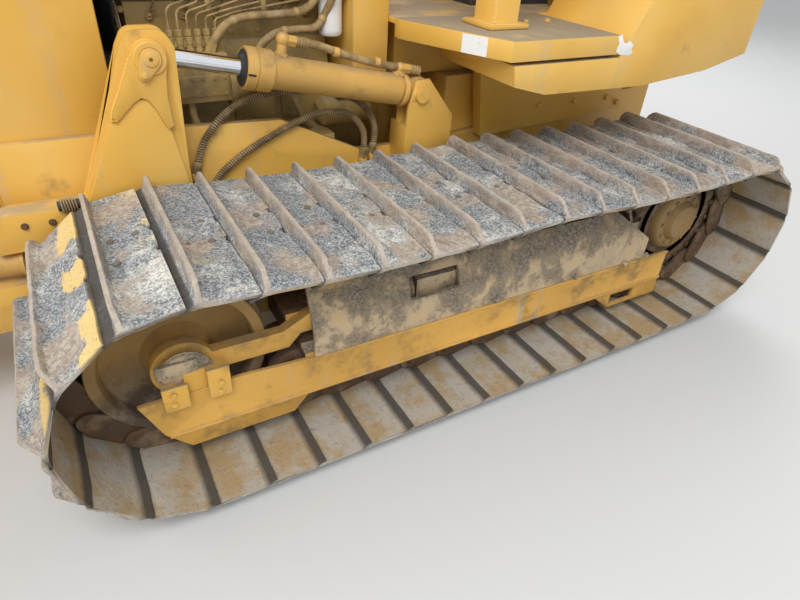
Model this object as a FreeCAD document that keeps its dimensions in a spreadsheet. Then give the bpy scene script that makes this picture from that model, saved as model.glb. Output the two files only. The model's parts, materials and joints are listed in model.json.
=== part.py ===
import FreeCAD, Part
import math
import os
import Sketcher

# Crawler bulldozer with wide tracks and a power angling and tilting blade, in millimetres.
# +X is forward, +Y is the machine's left, +Z is up. The origin is on the ground, under the
# middle of the whole machine.

doc = FreeCAD.newDocument("Bulldozer")
sheet = doc.addObject("Spreadsheet::Sheet", "sizes")
nodes = []
X, Y, Z = FreeCAD.Vector(1, 0, 0), FreeCAD.Vector(0, 1, 0), FreeCAD.Vector(0, 0, 1)
SIDES = [("left", 1), ("right", -1)]


class Size:
    """A number together with the sheet expression that gives it."""

    def __init__(self, number, text):
        self.number = number
        self.text = text

    def __add__(self, other):
        return combine(self, "+", other)

    def __radd__(self, other):
        return combine(other, "+", self)

    def __sub__(self, other):
        return combine(self, "-", other)

    def __rsub__(self, other):
        return combine(other, "-", self)

    def __mul__(self, other):
        return combine(self, "*", other)

    def __rmul__(self, other):
        return combine(other, "*", self)

    def __truediv__(self, other):
        return combine(self, "/", other)

    def __neg__(self):
        return combine(0, "-", self)


def number(value):
    return value.number if isinstance(value, Size) else float(value)


def text(value):
    return value.text if isinstance(value, Size) else "(%.6f)" % value


def combine(first, sign, second):
    one, two = number(first), number(second)
    if sign == "+":
        result = one + two
    elif sign == "-":
        result = one - two
    elif sign == "*":
        result = one * two
    else:
        result = one / two
    return Size(result, "(%s %s %s)" % (text(first), sign, text(second)))


class Group:
    """The named sizes of one sub-assembly."""


def table(group, sizes):
    """Write sizes to the sheet, with aliases group_name."""
    named = Group()
    for name, size in sizes.items():
        table.row += 1
        cell = "B%d" % table.row
        alias = "%s_%s" % (group, name)
        sheet.set("A%d" % table.row, alias)
        sheet.set(cell, str(size))
        sheet.setAlias(cell, alias)
        setattr(named, name, Size(float(sheet.getContents(cell)), "sizes." + alias))
    return named


table.row = 0


def bind(item, name, value):
    """Set a property to a number, or tie it to the sheet."""
    setattr(item, name, number(value))
    if isinstance(value, Size):
        item.setExpression(name, value.text)


def place(item, x, y, z, rotation=FreeCAD.Rotation()):
    """Put an object at a point that follows the sheet."""
    spot = FreeCAD.Vector(number(x), number(y), number(z))
    item.Placement = FreeCAD.Placement(spot, rotation)
    for axis, value in zip("xyz", (x, y, z)):
        if isinstance(value, Size):
            item.setExpression(".Placement.Base." + axis, value.text)
    return item


def aim(direction):
    """The rotation that turns +Z to a direction."""
    return FreeCAD.Rotation(Z, direction)


def box(name, x, y, z):
    """A box from pairs of low and high limits."""
    item = doc.addObject("Part::Box", name)
    for side, (low, high) in zip(("Length", "Width", "Height"), (x, y, z)):
        bind(item, side, high - low)
    return place(item, x[0], y[0], z[0])


def cylinder(name, axis, radius, length, x, y, z):
    """A cylinder that starts at a point and runs along an axis."""
    item = doc.addObject("Part::Cylinder", name)
    bind(item, "Radius", radius)
    bind(item, "Height", length)
    return place(item, x, y, z, aim(axis))


def sketch_on(body, role, points):
    """A closed sketch of straight lines, each corner dimensioned from the origin."""
    plane = [item for item in body.Origin.OriginFeatures if item.Role == role][0]
    sketch = body.newObject("Sketcher::SketchObject", body.Name + "Sketch")
    sketch.AttachmentSupport = [(plane, "")]
    sketch.MapMode = "FlatFace"
    corners = [FreeCAD.Vector(number(u), number(v), 0) for u, v in points]
    count = len(corners)
    for index in range(count):
        line = Part.LineSegment(corners[index], corners[(index + 1) % count])
        sketch.addGeometry(line, False)
    for index in range(count):
        following = (index + 1) % count
        sketch.addConstraint(Sketcher.Constraint("Coincident", index, 2, following, 1))
    for index, corner in enumerate(points):
        for kind, value in zip(("DistanceX", "DistanceY"), corner):
            rule = Sketcher.Constraint(kind, -1, 1, index, 1, number(value))
            place_in_list = sketch.addConstraint(rule)
            if isinstance(value, Size):
                sketch.setExpression("Constraints[%d]" % place_in_list, value.text)
    return sketch


PLANES = {"X": "YZ_Plane", "Y": "XZ_Plane", "Z": "XY_Plane"}


def profile(name, axis, points, low, high, rounds=()):
    """A plate or bar: an outline padded from low to high along an axis.

    rounds lists pairs of a corner's place in the outline and the radius there.
    """
    role, position = PLANES[axis], "XYZ".index(axis)
    body = doc.addObject("PartDesign::Body", name)
    sketch = sketch_on(body, role, points)
    pad = body.newObject("PartDesign::Pad", name + "Pad")
    pad.Profile = sketch
    pad.Midplane = True
    bind(pad, "Length", high - low)
    spot = [0, 0, 0]
    spot[position] = (low + high) / 2
    if rounds:
        doc.recompute()
    for count, (corner, radius) in enumerate(rounds):
        tip = body.Tip
        spots = [number(value) for value in points[corner]]
        names = edges_along(tip.Shape, position, spots)
        fillet = body.newObject("PartDesign::Fillet", "%sRound%d" % (name, count))
        fillet.Base = (tip, names)
        bind(fillet, "Radius", radius)
        doc.recompute()
    return place(body, *spot)


def edges_along(shape, position, spots):
    """Names of the straight edges along an axis that pass through a corner."""
    found = []
    others = [index for index in range(3) if index != position]
    for count, edge in enumerate(shape.Edges, 1):
        ends = [vertex.Point for vertex in edge.Vertexes]
        gaps = [abs(end[axis] - spot) for end in ends for axis, spot in zip(others, spots)]
        if len(ends) == 2 and max(gaps) < 0.01:
            found.append("Edge%d" % count)
    return found


TURNING = {"X": ("XZ_Plane", "H_Axis"), "Y": ("XY_Plane", "V_Axis"), "Z": ("XZ_Plane", "V_Axis")}


def turned(name, axis, points, x=0, y=0, z=0, rotation=FreeCAD.Rotation()):
    """A turned piece. Each point is a distance along the axis and a radius."""
    role, reference = TURNING[axis]
    corners = points if axis == "X" else [(radius, along) for along, radius in points]
    body = doc.addObject("PartDesign::Body", name)
    sketch = sketch_on(body, role, corners)
    revolution = body.newObject("PartDesign::Revolution", name + "Revolution")
    revolution.Profile = sketch
    revolution.ReferenceAxis = (sketch, [reference])
    revolution.Angle = 360
    return place(body, x, y, z, rotation)


def fuse(name, *pieces):
    item = doc.addObject("Part::MultiFuse", name)
    item.Shapes = list(pieces)
    item.Refine = True
    return item


def cut(name, base, *tools):
    item = doc.addObject("Part::Cut", name)
    item.Base = base
    item.Tool = tools[0] if len(tools) == 1 else fuse(name + "Tools", *tools)
    item.Refine = True
    return item


def together(name, *pieces):
    """Separate solids that share one node."""
    item = doc.addObject("Part::Compound", name)
    item.Links = list(pieces)
    return item


def hose(spots, radius, share):
    """A round hose through given points: straight runs joined by tangent arcs.

    Each arc takes a share of the shorter of its two runs. Returns the solid, its length and
    the bends' radii.
    """
    start, runs, length, bends = spots[0], [], 0, []
    for index in range(1, len(spots)):
        corner = spots[index]
        back = (spots[index - 1] - corner).normalize()
        ring = Part.Face(Part.Wire(Part.makeCircle(radius, start, back)))
        reach = 0
        if index < len(spots) - 1:
            ahead = (spots[index + 1] - corner).normalize()
            shorter = min((spots[index + side] - corner).Length for side in (-1, 1))
            reach = share * shorter
        end_of_run = corner + back * reach
        runs.append(ring.extrude(end_of_run - start))
        length += (end_of_run - start).Length
        if not reach:
            continue
        half_angle = back.getAngle(ahead) / 2
        bend = reach * math.tan(half_angle)
        turn = math.pi - 2 * half_angle
        centre = corner + (back + ahead).normalize() * (reach / math.cos(half_angle))
        ring.translate(end_of_run - start)
        runs.append(ring.revolve(centre, ahead.cross(back), math.degrees(turn)))
        length += bend * turn
        bends.append(round(bend))
        start = corner + ahead * reach
    return runs[0].fuse(runs[1:]), length, bends


def plain(name, shape):
    """A piece whose shape is worked out here, from the same sizes."""
    item = doc.addObject("Part::Feature", name)
    item.Shape = shape
    return item


def node(name, item):
    """Name a finished sub-part. Its label is its file's name."""
    item.Label = name
    nodes.append(item)
    return item


# Tracks: one closed loop a side, laid round the idler and the sprocket

TRACK_SIZES = {
    "gauge": 1727,  # between the centre lines of the two tracks
    "width": 660,  # shoe width
    "links": 39,  # links in one loop
    "radius": 294,  # pin circle at the idler
    "teeth": 23,  # sprocket teeth, two to a link
    "plate": 10,  # shoe plate
    "bar": 45,  # grouser height
    "bar_root": 26,  # grouser thickness at the plate
    "bar_tip": 12,  # grouser thickness at its edge
    "above_rail": 44,  # rail's running face below the pins
    "under_shoe": 42,  # shoe's seat above the pins
    "rail": 32,  # rail thickness
    "rail_gap": 92,  # between the two rails
    "pin": 24,  # bushing radius
    "bar_back": 14,  # grouser's middle behind the shoe's leading edge
    "sag_front": 24,  # sag ahead of the carrier roller
    "sag_rear": 18,  # sag behind the carrier roller
}
track = table("track", TRACK_SIZES)
RUN_SIZES = {
    "idler_x": 579,  # idler centre
    "sprocket_x": -1532,  # sprocket centre
    "carrier_x": -566,  # carrier roller centre
    "last_roller_x": -1150,  # rearmost bottom roller
}
run = table("run", RUN_SIZES)
ground = track.under_shoe + track.plate + track.bar
axle_z = ground + track.radius
side_y = track.gauge / 2
STEPS = 24


def arc_points(x, z, radius, start, end):
    """Points of an arc, by angles in degrees from +X towards +Z."""
    turns = [math.radians(start + (end - start) * step / STEPS) for step in range(STEPS + 1)]
    return [(x + radius * math.cos(turn), z + radius * math.sin(turn)) for turn in turns]


def sagging(x_from, z_from, x_to, z_to, sag):
    """Points of a run that hangs between two places, without its ends."""
    shares = [step / STEPS for step in range(1, STEPS)]
    return [(x_from + (x_to - x_from) * share,
             z_from + (z_to - z_from) * share - 4 * sag * share * (1 - share))
            for share in shares]


def pin_path(rear_radius):
    """The closed path of the pins, forward over the top and back along the ground."""
    front, rear = number(run.idler_x), number(run.sprocket_x)
    high, radius = number(axle_z), number(track.radius)
    carrier = number(run.carrier_x)
    carrier_z = high + (radius + rear_radius) / 2 - 4
    points = arc_points(rear, high, rear_radius, 262, 90)
    points += sagging(rear, high + rear_radius, carrier, carrier_z, number(track.sag_rear))
    points += [(carrier, carrier_z)]
    points += sagging(carrier, carrier_z, front, high + radius, number(track.sag_front))
    points += arc_points(front, high, radius, 90, -90)
    points += [(number(run.last_roller_x), high - radius)]
    return points


def path_length(points):
    return sum(math.dist(points[index - 1], points[index]) for index in range(len(points)))


def pins_on(points, count):
    """Places a pitch apart along the closed path, each with its heading."""
    total = path_length(points)
    places = []
    walked, index = 0.0, 0
    for link in range(count):
        goal = link * total / count
        while True:
            start, end = points[index], points[(index + 1) % len(points)]
            step = math.dist(start, end)
            if walked + step > goal:
                break
            walked += step
            index += 1
        share = (goal - walked) / step
        places.append((start[0] + (end[0] - start[0]) * share,
                       start[1] + (end[1] - start[1]) * share))
    return places


rear_radius = number(track.radius)
for attempt in range(8):
    path = pin_path(rear_radius)
    pitch = path_length(path) / number(track.links)
    rear_radius = pitch * number(track.teeth) / (4 * math.pi)
pins = pins_on(path, int(number(track.links)))


def link_frames():
    """For each link: its middle, its direction along the loop, and outwards."""
    frames = []
    for index, (x, z) in enumerate(pins):
        x_next, z_next = pins[(index + 1) % len(pins)]
        reach = math.hypot(x_next - x, z_next - z)
        along = ((x_next - x) / reach, (z_next - z) / reach)
        outward = (-along[1], along[0])
        frames.append(((x + x_next) / 2, (z + z_next) / 2, along, outward, reach))
    return frames


def loop_outline(section):
    """One closed outline from the same few points on every link.

    section lists places along the link, as a share of half its length plus an offset,
    and heights outside the pins.
    """
    corners = []
    for x, z, along, outward, reach in link_frames():
        for share, offset, height in section:
            slide = share * reach / 2 + offset
            corners.append(FreeCAD.Vector(x + along[0] * slide + outward[0] * height, 0,
                                          z + along[1] * slide + outward[1] * height))
    return Part.Wire(Part.makePolygon(corners + corners[:1]))


def loop_band(outer, inner, low, high):
    """A closed band between two outlines, from low to high along Y."""
    ring = Part.makeFace([loop_outline(outer), loop_outline(inner)], "Part::FaceMakerBullseye")
    ring.translate(FreeCAD.Vector(0, low, 0))
    return ring.extrude(FreeCAD.Vector(0, high - low, 0))


def track_shape():
    """Shoes as one band with a grouser on each, two chain rails, and the bushings."""
    seat, plate = number(track.under_shoe), number(track.plate)
    root, tip = number(track.bar_root) / 2, number(track.bar_tip) / 2
    top = seat + plate
    edge = top + number(track.bar)
    back = number(track.bar_back)
    shoe = [(-1, 6, top), (1, -back - root, top), (1, -back - tip, edge),
            (1, -back + tip, edge), (1, -back + root, top)]
    inside = [(-1, 0, seat)]
    running = -number(track.above_rail)
    rail_low = [(-1, 30, running), (1, -30, running)]
    rail_high = [(-1, 0, seat + plate / 3)]
    half = number(track.width) / 2
    inner_rail = number(track.rail_gap) / 2
    outer_rail = inner_rail + number(track.rail)
    band = loop_band(shoe, inside, -half, half)
    pieces = []
    for low, high in ((-outer_rail, -inner_rail), (inner_rail, outer_rail)):
        pieces.append(loop_band(rail_high, rail_low, low, high))
    length = number(track.rail_gap) + number(track.rail)
    radius = number(track.pin)
    hexagon = [math.radians(60 * turn) for turn in range(7)]
    for x, z in pins:
        rim = [FreeCAD.Vector(x + radius * math.cos(turn), -length / 2,
                              z + radius * math.sin(turn)) for turn in hexagon]
        pieces.append(Part.Face(Part.makePolygon(rim)).extrude(FreeCAD.Vector(0, length, 0)))
    return band.fuse(pieces).removeSplitter()


loop_shape = track_shape()
for side, sign in SIDES:
    loop = node(side + "_track", plain(side.capitalize() + "Track", loop_shape))
    place(loop, 0, sign * side_y, 0)


# Wheels of the undercarriage: idler, sprocket, rollers

WHEELS_SIZES = {
    "gap": 1,  # running clearance to the chain
    "idler_half": 84,  # half the idler's tread width
    "idler_flange": 16,  # height of the idler's centre flange
    "idler_rim": 30,  # idler rim thickness
    "idler_web": 70,  # idler web thickness
    "flange_gap": 12,  # idler flange to each rail
    "idler_hub": 74,  # idler hub radius
    "idler_hub_half": 78,  # half the idler hub's length
    "shaft": 36,  # idler shaft radius
    "tooth_half": 34,  # half the sprocket's width
    "tooth_height": 16,  # teeth beyond the pin circle
    "hub_cover": 150,  # hub cover radius
    "hub_out": 78,  # hub cover's outer face from the track's middle
    "roller": 85,  # bottom roller radius
    "roller_end": 14,  # roller beyond the rails at each end
    "roller_shaft": 22,  # radius of a bottom roller's shaft
    "shaft_half": 138,  # half that shaft's length, out to the guards
    "carrier": 70,  # carrier roller radius
    "rollers": 7,  # bottom rollers on each side
    "first_roller_x": 250,  # front bottom roller
}
wheels = table("wheels", WHEELS_SIZES)
chord_z = math.sqrt(number(track.radius) ** 2 - pitch ** 2 / 4)
tread = chord_z - track.above_rail - wheels.gap
rail_out = track.rail_gap / 2 + track.rail
half_gap = track.rail_gap / 2
roller_z = axle_z - track.radius + track.above_rail + wheels.gap + wheels.roller

rim_in = tread - wheels.idler_rim
flange = half_gap - wheels.flange_gap
crown = tread + wheels.idler_flange
idler_section = [
    (-wheels.idler_hub_half, wheels.shaft), (-wheels.idler_hub_half, wheels.idler_hub),
    (-wheels.idler_web / 2, wheels.idler_hub), (-wheels.idler_web / 2, rim_in),
    (-wheels.idler_half, rim_in), (-wheels.idler_half, tread), (-flange, tread),
    (-flange, crown), (flange, crown), (flange, tread), (wheels.idler_half, tread),
    (wheels.idler_half, rim_in), (wheels.idler_web / 2, rim_in),
    (wheels.idler_web / 2, wheels.idler_hub), (wheels.idler_hub_half, wheels.idler_hub),
    (wheels.idler_hub_half, wheels.shaft),
]
SPROCKET_FACE_SIZES = {
    "rim": 44,  # depth of the toothed rim below the teeth
    "web": 16,  # half the web's thickness
}
sprocket_face = table("sprocket", SPROCKET_FACE_SIZES)


def sprocket_shape():
    """The toothed ring: a gap under every bushing and one between each pair."""
    root = rear_radius - number(track.pin) - 1.5
    crest = rear_radius + number(wheels.tooth_height)
    phase = math.atan2(pins[0][1] - number(axle_z), pins[0][0] - number(run.sprocket_x))
    half_tooth = math.pi / number(track.teeth)
    profile_points = []
    for tooth in range(int(number(track.teeth))):
        middle = phase + (2 * tooth + 1) * half_tooth
        for turn, radius in ((-0.52, root), (-0.2, crest), (0.2, crest), (0.52, root)):
            angle = middle + turn * half_tooth
            profile_points.append(FreeCAD.Vector(radius * math.cos(angle), 0,
                                                 radius * math.sin(angle)))
    half = number(wheels.tooth_half)
    ring = Part.Face(Part.makePolygon(profile_points + profile_points[:1]))
    ring.translate(FreeCAD.Vector(0, -half, 0))
    ring = ring.extrude(FreeCAD.Vector(0, 2 * half, 0))
    inner = root - number(sprocket_face.rim)
    web = number(sprocket_face.web)
    for low in (-half - 1, web):
        pocket = Part.makeCylinder(inner, half + 1 - web, FreeCAD.Vector(0, low, 0), Y)
        ring = ring.cut(pocket)
    cover = number(wheels.hub_cover)
    out = number(wheels.hub_out)
    boss = Part.makeCylinder(cover, out - web, FreeCAD.Vector(0, web, 0), Y)
    cap = Part.makeCylinder(cover * 0.5, 22, FreeCAD.Vector(0, out - 1, 0), Y)
    return ring.fuse([boss, cap])


sprocket_solid = sprocket_shape()
for side, sign in SIDES:
    word = side.capitalize()
    wheel = turned(word + "IdlerWheel", "Y", idler_section, run.idler_x, sign * side_y, axle_z)
    shaft = cylinder(word + "IdlerShaft", Y, wheels.shaft + 1, 2 * wheels.idler_hub_half + 40,
                     run.idler_x, sign * side_y - wheels.idler_hub_half - 20, axle_z)
    node(side + "_idler", fuse(word + "Idler", wheel, shaft))
    solid = sprocket_solid if sign > 0 else sprocket_solid.mirror(FreeCAD.Vector(), Y)
    sprocket = node(side + "_sprocket", plain(word + "Sprocket", solid))
    place(sprocket, run.sprocket_x, sign * side_y, axle_z)

carrier_z = axle_z + (track.radius + rear_radius) / 2 - 4 - track.above_rail - 5 - wheels.carrier
for side, sign in SIDES:
    word = side.capitalize()
    rollers = []
    last = int(number(wheels.rollers)) - 1
    for count in range(last + 1):
        at = wheels.first_roller_x + (run.last_roller_x - wheels.first_roller_x) * (count / last)
        drum = cylinder("%sRollerDrum%d" % (word, count), Y, wheels.roller,
                        2 * rail_out + 2 * wheels.roller_end, at,
                        sign * side_y - rail_out - wheels.roller_end, roller_z)
        shaft = cylinder("%sRollerShaft%d" % (word, count), Y, wheels.roller_shaft,
                         2 * wheels.shaft_half, at, sign * side_y - wheels.shaft_half, roller_z)
        rollers.append(fuse("%sRoller%d" % (word, count), drum, shaft))
    rollers.append(cylinder(word + "Carrier", Y, wheels.carrier, 2 * rail_out, run.carrier_x,
                            sign * side_y - rail_out, carrier_z))
    node(side + "_rollers", together(word + "Rollers", *rollers))


# Track frames: the beam over the rollers, its guards, and the yoke that holds the idler

BEAM_SIZES = {
    "bottom": 318,  # beam's underside
    "top": 470,  # beam's top
    "half": 104,  # half the beam's width
    "rear_x": -1210,  # rear end
    "front_x": 236,  # front end
    "wall": 12,  # guard plate
    "outer": 150,  # guards' outer face from the track's middle
    "lip_z": 186,  # lip along the lower edge of the band
    "band_top": 318,  # top of the band
    "lower_edge": 124,  # bottom of the nose wedge
    "wedge_x": 230,  # rear end of the nose wedge
    "nose_x": 716,  # tip of the band
    "nose_z": 326,  # height of that tip
    "tail_x": -1392,  # rear of the band
    "guard_x": 208,  # front of the upper guard
    "guard_rear_x": -1240,  # rear of the upper guard
    "fold_z": 404,  # the upper guard's fold
    "roof": 538,  # its top edge
    "roof_y": 84,  # that edge's place from the track's middle
    "window_x": -128,  # front of the opening over the recoil spring
    "window": 190,  # its length
    "window_z": 424,  # its lower edge
    "yoke": 34,  # yoke arm thickness
    "yoke_high": 62,  # yoke arm height
    "housing": 86,  # idler bearing housing's radius
    "spring": 58,  # recoil spring radius
    "spring_z": 420,  # its height
}
beam = table("beam", BEAM_SIZES)
half_hub = wheels.idler_hub_half
for side, sign in SIDES:
    word = side.capitalize()
    middle = sign * side_y

    def across(low, high):
        """Limits along Y, from places measured outwards from the track's middle."""
        pair = (middle + sign * low, middle + sign * high)
        return pair if sign > 0 else pair[::-1]

    core = box(word + "BeamCore", (beam.rear_x, beam.front_x), across(-beam.half, beam.half),
               (beam.bottom, beam.top))
    pocket = box(word + "BeamPocket", (beam.window_x - 40, beam.front_x + 1),
                 across(beam.half - 150, beam.half + 1), (beam.bottom + 30, beam.top + 1))
    core = cut(word + "Beam", core, pocket)

    band_low, band_high = across(beam.outer - beam.wall, beam.outer)
    band = profile(word + "Band", "Y", [
        (beam.nose_x, beam.nose_z), (beam.nose_x - 51, beam.lip_z + 12),
        (beam.nose_x - 116, beam.lower_edge), (beam.wedge_x + 54, beam.lower_edge),
        (beam.wedge_x, beam.lip_z), (beam.tail_x + 372, beam.lip_z - 10),
        (beam.tail_x + 287, beam.lower_edge - 16), (beam.tail_x, beam.lower_edge - 16),
        (beam.tail_x, beam.fold_z - 90), (beam.front_x - 20, beam.band_top),
        (beam.nose_x - 286, beam.band_top + 14)], band_low, band_high)
    tail_window = box(word + "TailWindow", (beam.tail_x + 147, beam.tail_x + 284),
                      across(100, beam.outer + 20), (beam.lower_edge - 2, beam.lip_z - 16))
    band = cut(word + "BandPlate", band, tail_window)
    lip = box(word + "BandLip", (beam.tail_x, beam.nose_x - 62),
              across(beam.outer - 2, beam.outer + 8), (beam.lip_z, beam.lip_z + 9))
    rib = box(word + "BandRib", (beam.tail_x, beam.front_x - 20),
              across(beam.outer - 2, beam.outer + 5), (beam.band_top - 9, beam.band_top))

    def sheet_at(offset, height):
        """A corner of the upper guard, measured outwards from the track's middle."""
        return middle + sign * offset, height

    top_out = beam.roof_y + beam.wall * 0.9
    upper = profile(word + "UpperGuard", "X", [
        sheet_at(beam.outer - beam.wall - 1, beam.band_top - 20),
        sheet_at(beam.outer - 1, beam.band_top - 20), sheet_at(beam.outer - 1, beam.fold_z),
        sheet_at(top_out, beam.roof), sheet_at(beam.roof_y, beam.roof - 8),
        sheet_at(beam.outer - beam.wall - 1, beam.fold_z - 6)], beam.guard_rear_x, beam.guard_x)
    window = box(word + "Window", (beam.window_x - beam.window, beam.window_x),
                 across(60, beam.outer + 20), (beam.window_z, beam.window_z + 72))
    corner = profile(word + "GuardCorner", "Y", [
        (beam.guard_rear_x - 1, beam.fold_z + 4), (beam.guard_rear_x - 1, beam.roof + 20),
        (beam.guard_rear_x + 200, beam.roof + 20)], *across(0, beam.outer + 1))
    upper = cut(word + "UpperPlate", upper, window, corner)
    roofs = [box("%sGuardRoof%d" % (word, count), span, across(0, beam.roof_y + 2),
                 (beam.roof - 18, beam.roof - 8)) for count, span in enumerate((
                     (beam.guard_rear_x + 210, run.carrier_x - wheels.carrier - 16),
                     (run.carrier_x + wheels.carrier + 16, beam.guard_x - 4)))]
    webs = [profile("%sGuardWeb%d" % (word, count), "X", [
        sheet_at(beam.half - 2, beam.bottom + 2), sheet_at(beam.outer - 4, beam.bottom + 2),
        sheet_at(beam.outer - 4, beam.fold_z - 6), sheet_at(beam.roof_y + 2, beam.roof - 10),
        sheet_at(-beam.half + 8, beam.roof - 10), sheet_at(-beam.half + 8, beam.top - 1),
        sheet_at(beam.half - 2, beam.top - 1)], along, along + 14)
        for count, along in enumerate((-1160, -760, beam.window_x - beam.window - 40))]
    foot = box(word + "GuardFoot", (beam.rear_x, beam.front_x),
               across(beam.half - 2, beam.outer - beam.wall + 1), (beam.bottom, beam.bottom + 14))
    inner = box(word + "InnerGuard", (beam.rear_x, beam.front_x - 60),
                across(-beam.outer, -beam.outer + beam.wall), (beam.lip_z, beam.bottom + 18))
    inner_foot = box(word + "InnerFoot", (beam.rear_x, beam.front_x - 60),
                     across(-beam.outer + 2, -beam.half + 1), (beam.bottom + 2, beam.bottom + 18))

    arm_low_z = axle_z - beam.yoke_high / 2
    arm_top_z = axle_z + beam.yoke_high / 2
    yoke_in, yoke_out = across(half_hub + 6, half_hub + 6 + beam.yoke)
    outer_arm = profile(word + "YokeArm", "Y", [
        (run.idler_x, arm_low_z), (run.idler_x, arm_top_z), (293, arm_top_z), (204, 466),
        (100, 466), (100, 403), (238, 403), (278, arm_low_z)], yoke_in, yoke_out)
    housings = [cylinder("%sHousing%d" % (word, count), Y, beam.housing, beam.yoke, run.idler_x,
                         start, axle_z) for count, start in enumerate(
                             (across(-half_hub - 6 - beam.yoke, -half_hub - 6)[0], yoke_in))]
    inner_arm = box(word + "InnerYokeArm", (100, run.idler_x),
                    across(-half_hub - 6 - beam.yoke, -half_hub - 6), (arm_low_z, arm_top_z))
    bridge = box(word + "YokeBridge", (100, beam.front_x + 36),
                 across(-half_hub - 7, half_hub + 7), (arm_low_z + 12, 455))
    slides = [box("%sSlide%d" % (word, count), (low, high), across(half_hub + 8, beam.outer + 12),
                  (beam.band_top - 10, top))
              for count, (low, high, top) in enumerate(((590, 648, 374), (474, 528, 398)))]
    slide_web = box(word + "SlideWeb", (474, 648), across(half_hub + 8, beam.outer - 2),
                    (beam.band_top - 10, 350))
    bearing = cylinder(word + "IdlerBore", Y, wheels.shaft + 2, 500, run.idler_x,
                       middle - 250, axle_z)
    yoke = cut(word + "Yoke", fuse(word + "YokeBody", bridge, outer_arm, inner_arm, *housings,
                                   *slides, slide_web), bearing)
    post = box(word + "CarrierPost", (run.carrier_x - 40, run.carrier_x + 40),
               across(-beam.half, -rail_out - 2), (beam.top - 1, carrier_z + 36))
    spring = cylinder(word + "Spring", X, beam.spring,
                      beam.front_x - 134 - (beam.window_x - beam.window - 40),
                      beam.window_x - beam.window - 40, middle + sign * 34, beam.spring_z)
    node(side + "_track_frame", fuse(word + "TrackFrame", core, band, lip, rib, upper, *roofs,
                                     foot, inner, inner_foot, yoke, post, spring, *webs))


# Hull: side plates, belly guard and rear case, with the pins that the blade frame hangs on

HULL_SIZES = {
    "half": 390,  # half the hull's width
    "plate": 26,  # side plate
    "belly_z": 345,  # belly guard's underside
    "belly": 16,  # belly guard
    "front_x": 912,  # front of the side plates
    "rear_x": -1780,  # rear of the side plates
    "case_front_x": -620,  # front of the rear case
    "case_top": 930,  # top of the rear case
    "support": 58,  # track frame support radius
    "support_z": 400,  # height of the supports
    "drive": 212,  # final drive housing radius
    "drive_nose": 128,  # final drive's outer radius
}
hull = table("hull", HULL_SIZES)
PIVOT_SIZES = {
    "frame_x": -525,  # blade frame's pins
    "frame_z": 375,  # their height
    "frame_pin": 45,  # their radius
    "lift_x": -425,  # lift cylinder's rear pin
    "lift_z": 910,  # its height
    "lift_y": 463,  # lift cylinder's plane
    "lift_pin": 26,  # its radius
    "tower_x": 459,  # lift cylinder's front pin
    "tower_z": 1086,  # its height
    "clear": 0.6,  # running clearance round a pin
    "gap": 8,  # clearance beside an eye
    "eye": 40,  # eye width
    "eye_radius": 54,  # eye radius
    "ear": 12,  # thickness of a bracket's ear
}
pivot = table("pivot", PIVOT_SIZES)
half = hull.half
ear_in = pivot.lift_y - pivot.eye / 2 - pivot.gap
ear_out = pivot.lift_y + pivot.eye / 2 + pivot.gap
side_outline = [
    (hull.front_x, 560), (hull.front_x, 852), (392, 850), (60, 838), (-236, 698),
    (-560, 698), (hull.rear_x, 820), (hull.rear_x, 520), (-1560, hull.belly_z),
    (420, hull.belly_z)]
pieces = []
for side, sign in SIDES:
    word = side.capitalize()
    low, high = sorted((sign * (half - hull.plate), sign * half), key=number)
    pieces.append(profile(word + "HullSide", "Y", side_outline, low, high))
    start = half if sign > 0 else -ear_out - pivot.ear - 12
    length = ear_out + pivot.ear + 12 - half
    pieces.append(cylinder(word + "FramePin", Y, pivot.frame_pin, length,
                           pivot.frame_x, start, pivot.frame_z))
    start = half if sign > 0 else -ear_in + pivot.ear + 3
    pieces.append(cylinder(word + "FrameBoss", Y, 70, ear_in - pivot.ear - 3 - half,
                           pivot.frame_x, start, pivot.frame_z))
    start = ear_out + pivot.ear + 2 if sign > 0 else -ear_out - pivot.ear - 14
    pieces.append(cylinder(word + "FrameCap", Y, 66, 12, pivot.frame_x, start, pivot.frame_z))
    ear_outline = [(-520, 700), (-366, 738), (-376, 880), (-402, 958), (-455, 962),
                   (-566, 826), (-566, 720)]
    for count, inside in enumerate((ear_in - pivot.ear, ear_out)):
        low, high = sorted((sign * inside, sign * (inside + pivot.ear)), key=number)
        pieces.append(profile("%sLiftEar%d" % (word, count), "Y", ear_outline, low, high))
    low, high = sorted((sign * (half - 2), sign * (ear_out + pivot.ear)), key=number)
    pieces.append(profile(word + "LiftSeat", "Y", [
        (-520, 640), (-372, 640), (-366, 738), (-370, 800), (-566, 800), (-566, 680)], low, high))
    low, high = sorted((sign * (ear_in - pivot.ear), sign * (ear_out + pivot.ear + 14)), key=number)
    pieces.append(cylinder(word + "LiftPin", Y, pivot.lift_pin, high - low,
                           pivot.lift_x, low, pivot.lift_z))
inner = half - hull.plate
pieces.append(box("BellyGuard", (-1556, 420), (-inner - 1, inner + 1),
                  (hull.belly_z, hull.belly_z + hull.belly)))
pieces.append(profile("FrontGuard", "Y", [
    (419, hull.belly_z), (hull.front_x, 560), (hull.front_x, 560 + hull.belly),
    (419, hull.belly_z + hull.belly)], -inner - 1, inner + 1))
pieces.append(box("FrontBar", (hull.front_x - 60, hull.front_x), (-inner - 1, inner + 1),
                  (560, 618)))
case = profile("RearCase", "Y", [
    (hull.case_front_x, hull.belly_z + hull.belly), (hull.case_front_x, hull.case_top),
    (-1700, hull.case_top), (hull.rear_x, 840), (hull.rear_x, 530),
    (-1640, hull.belly_z + 120), (-1556, hull.belly_z + hull.belly)], -inner, inner)
node("rear_case", case)

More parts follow.
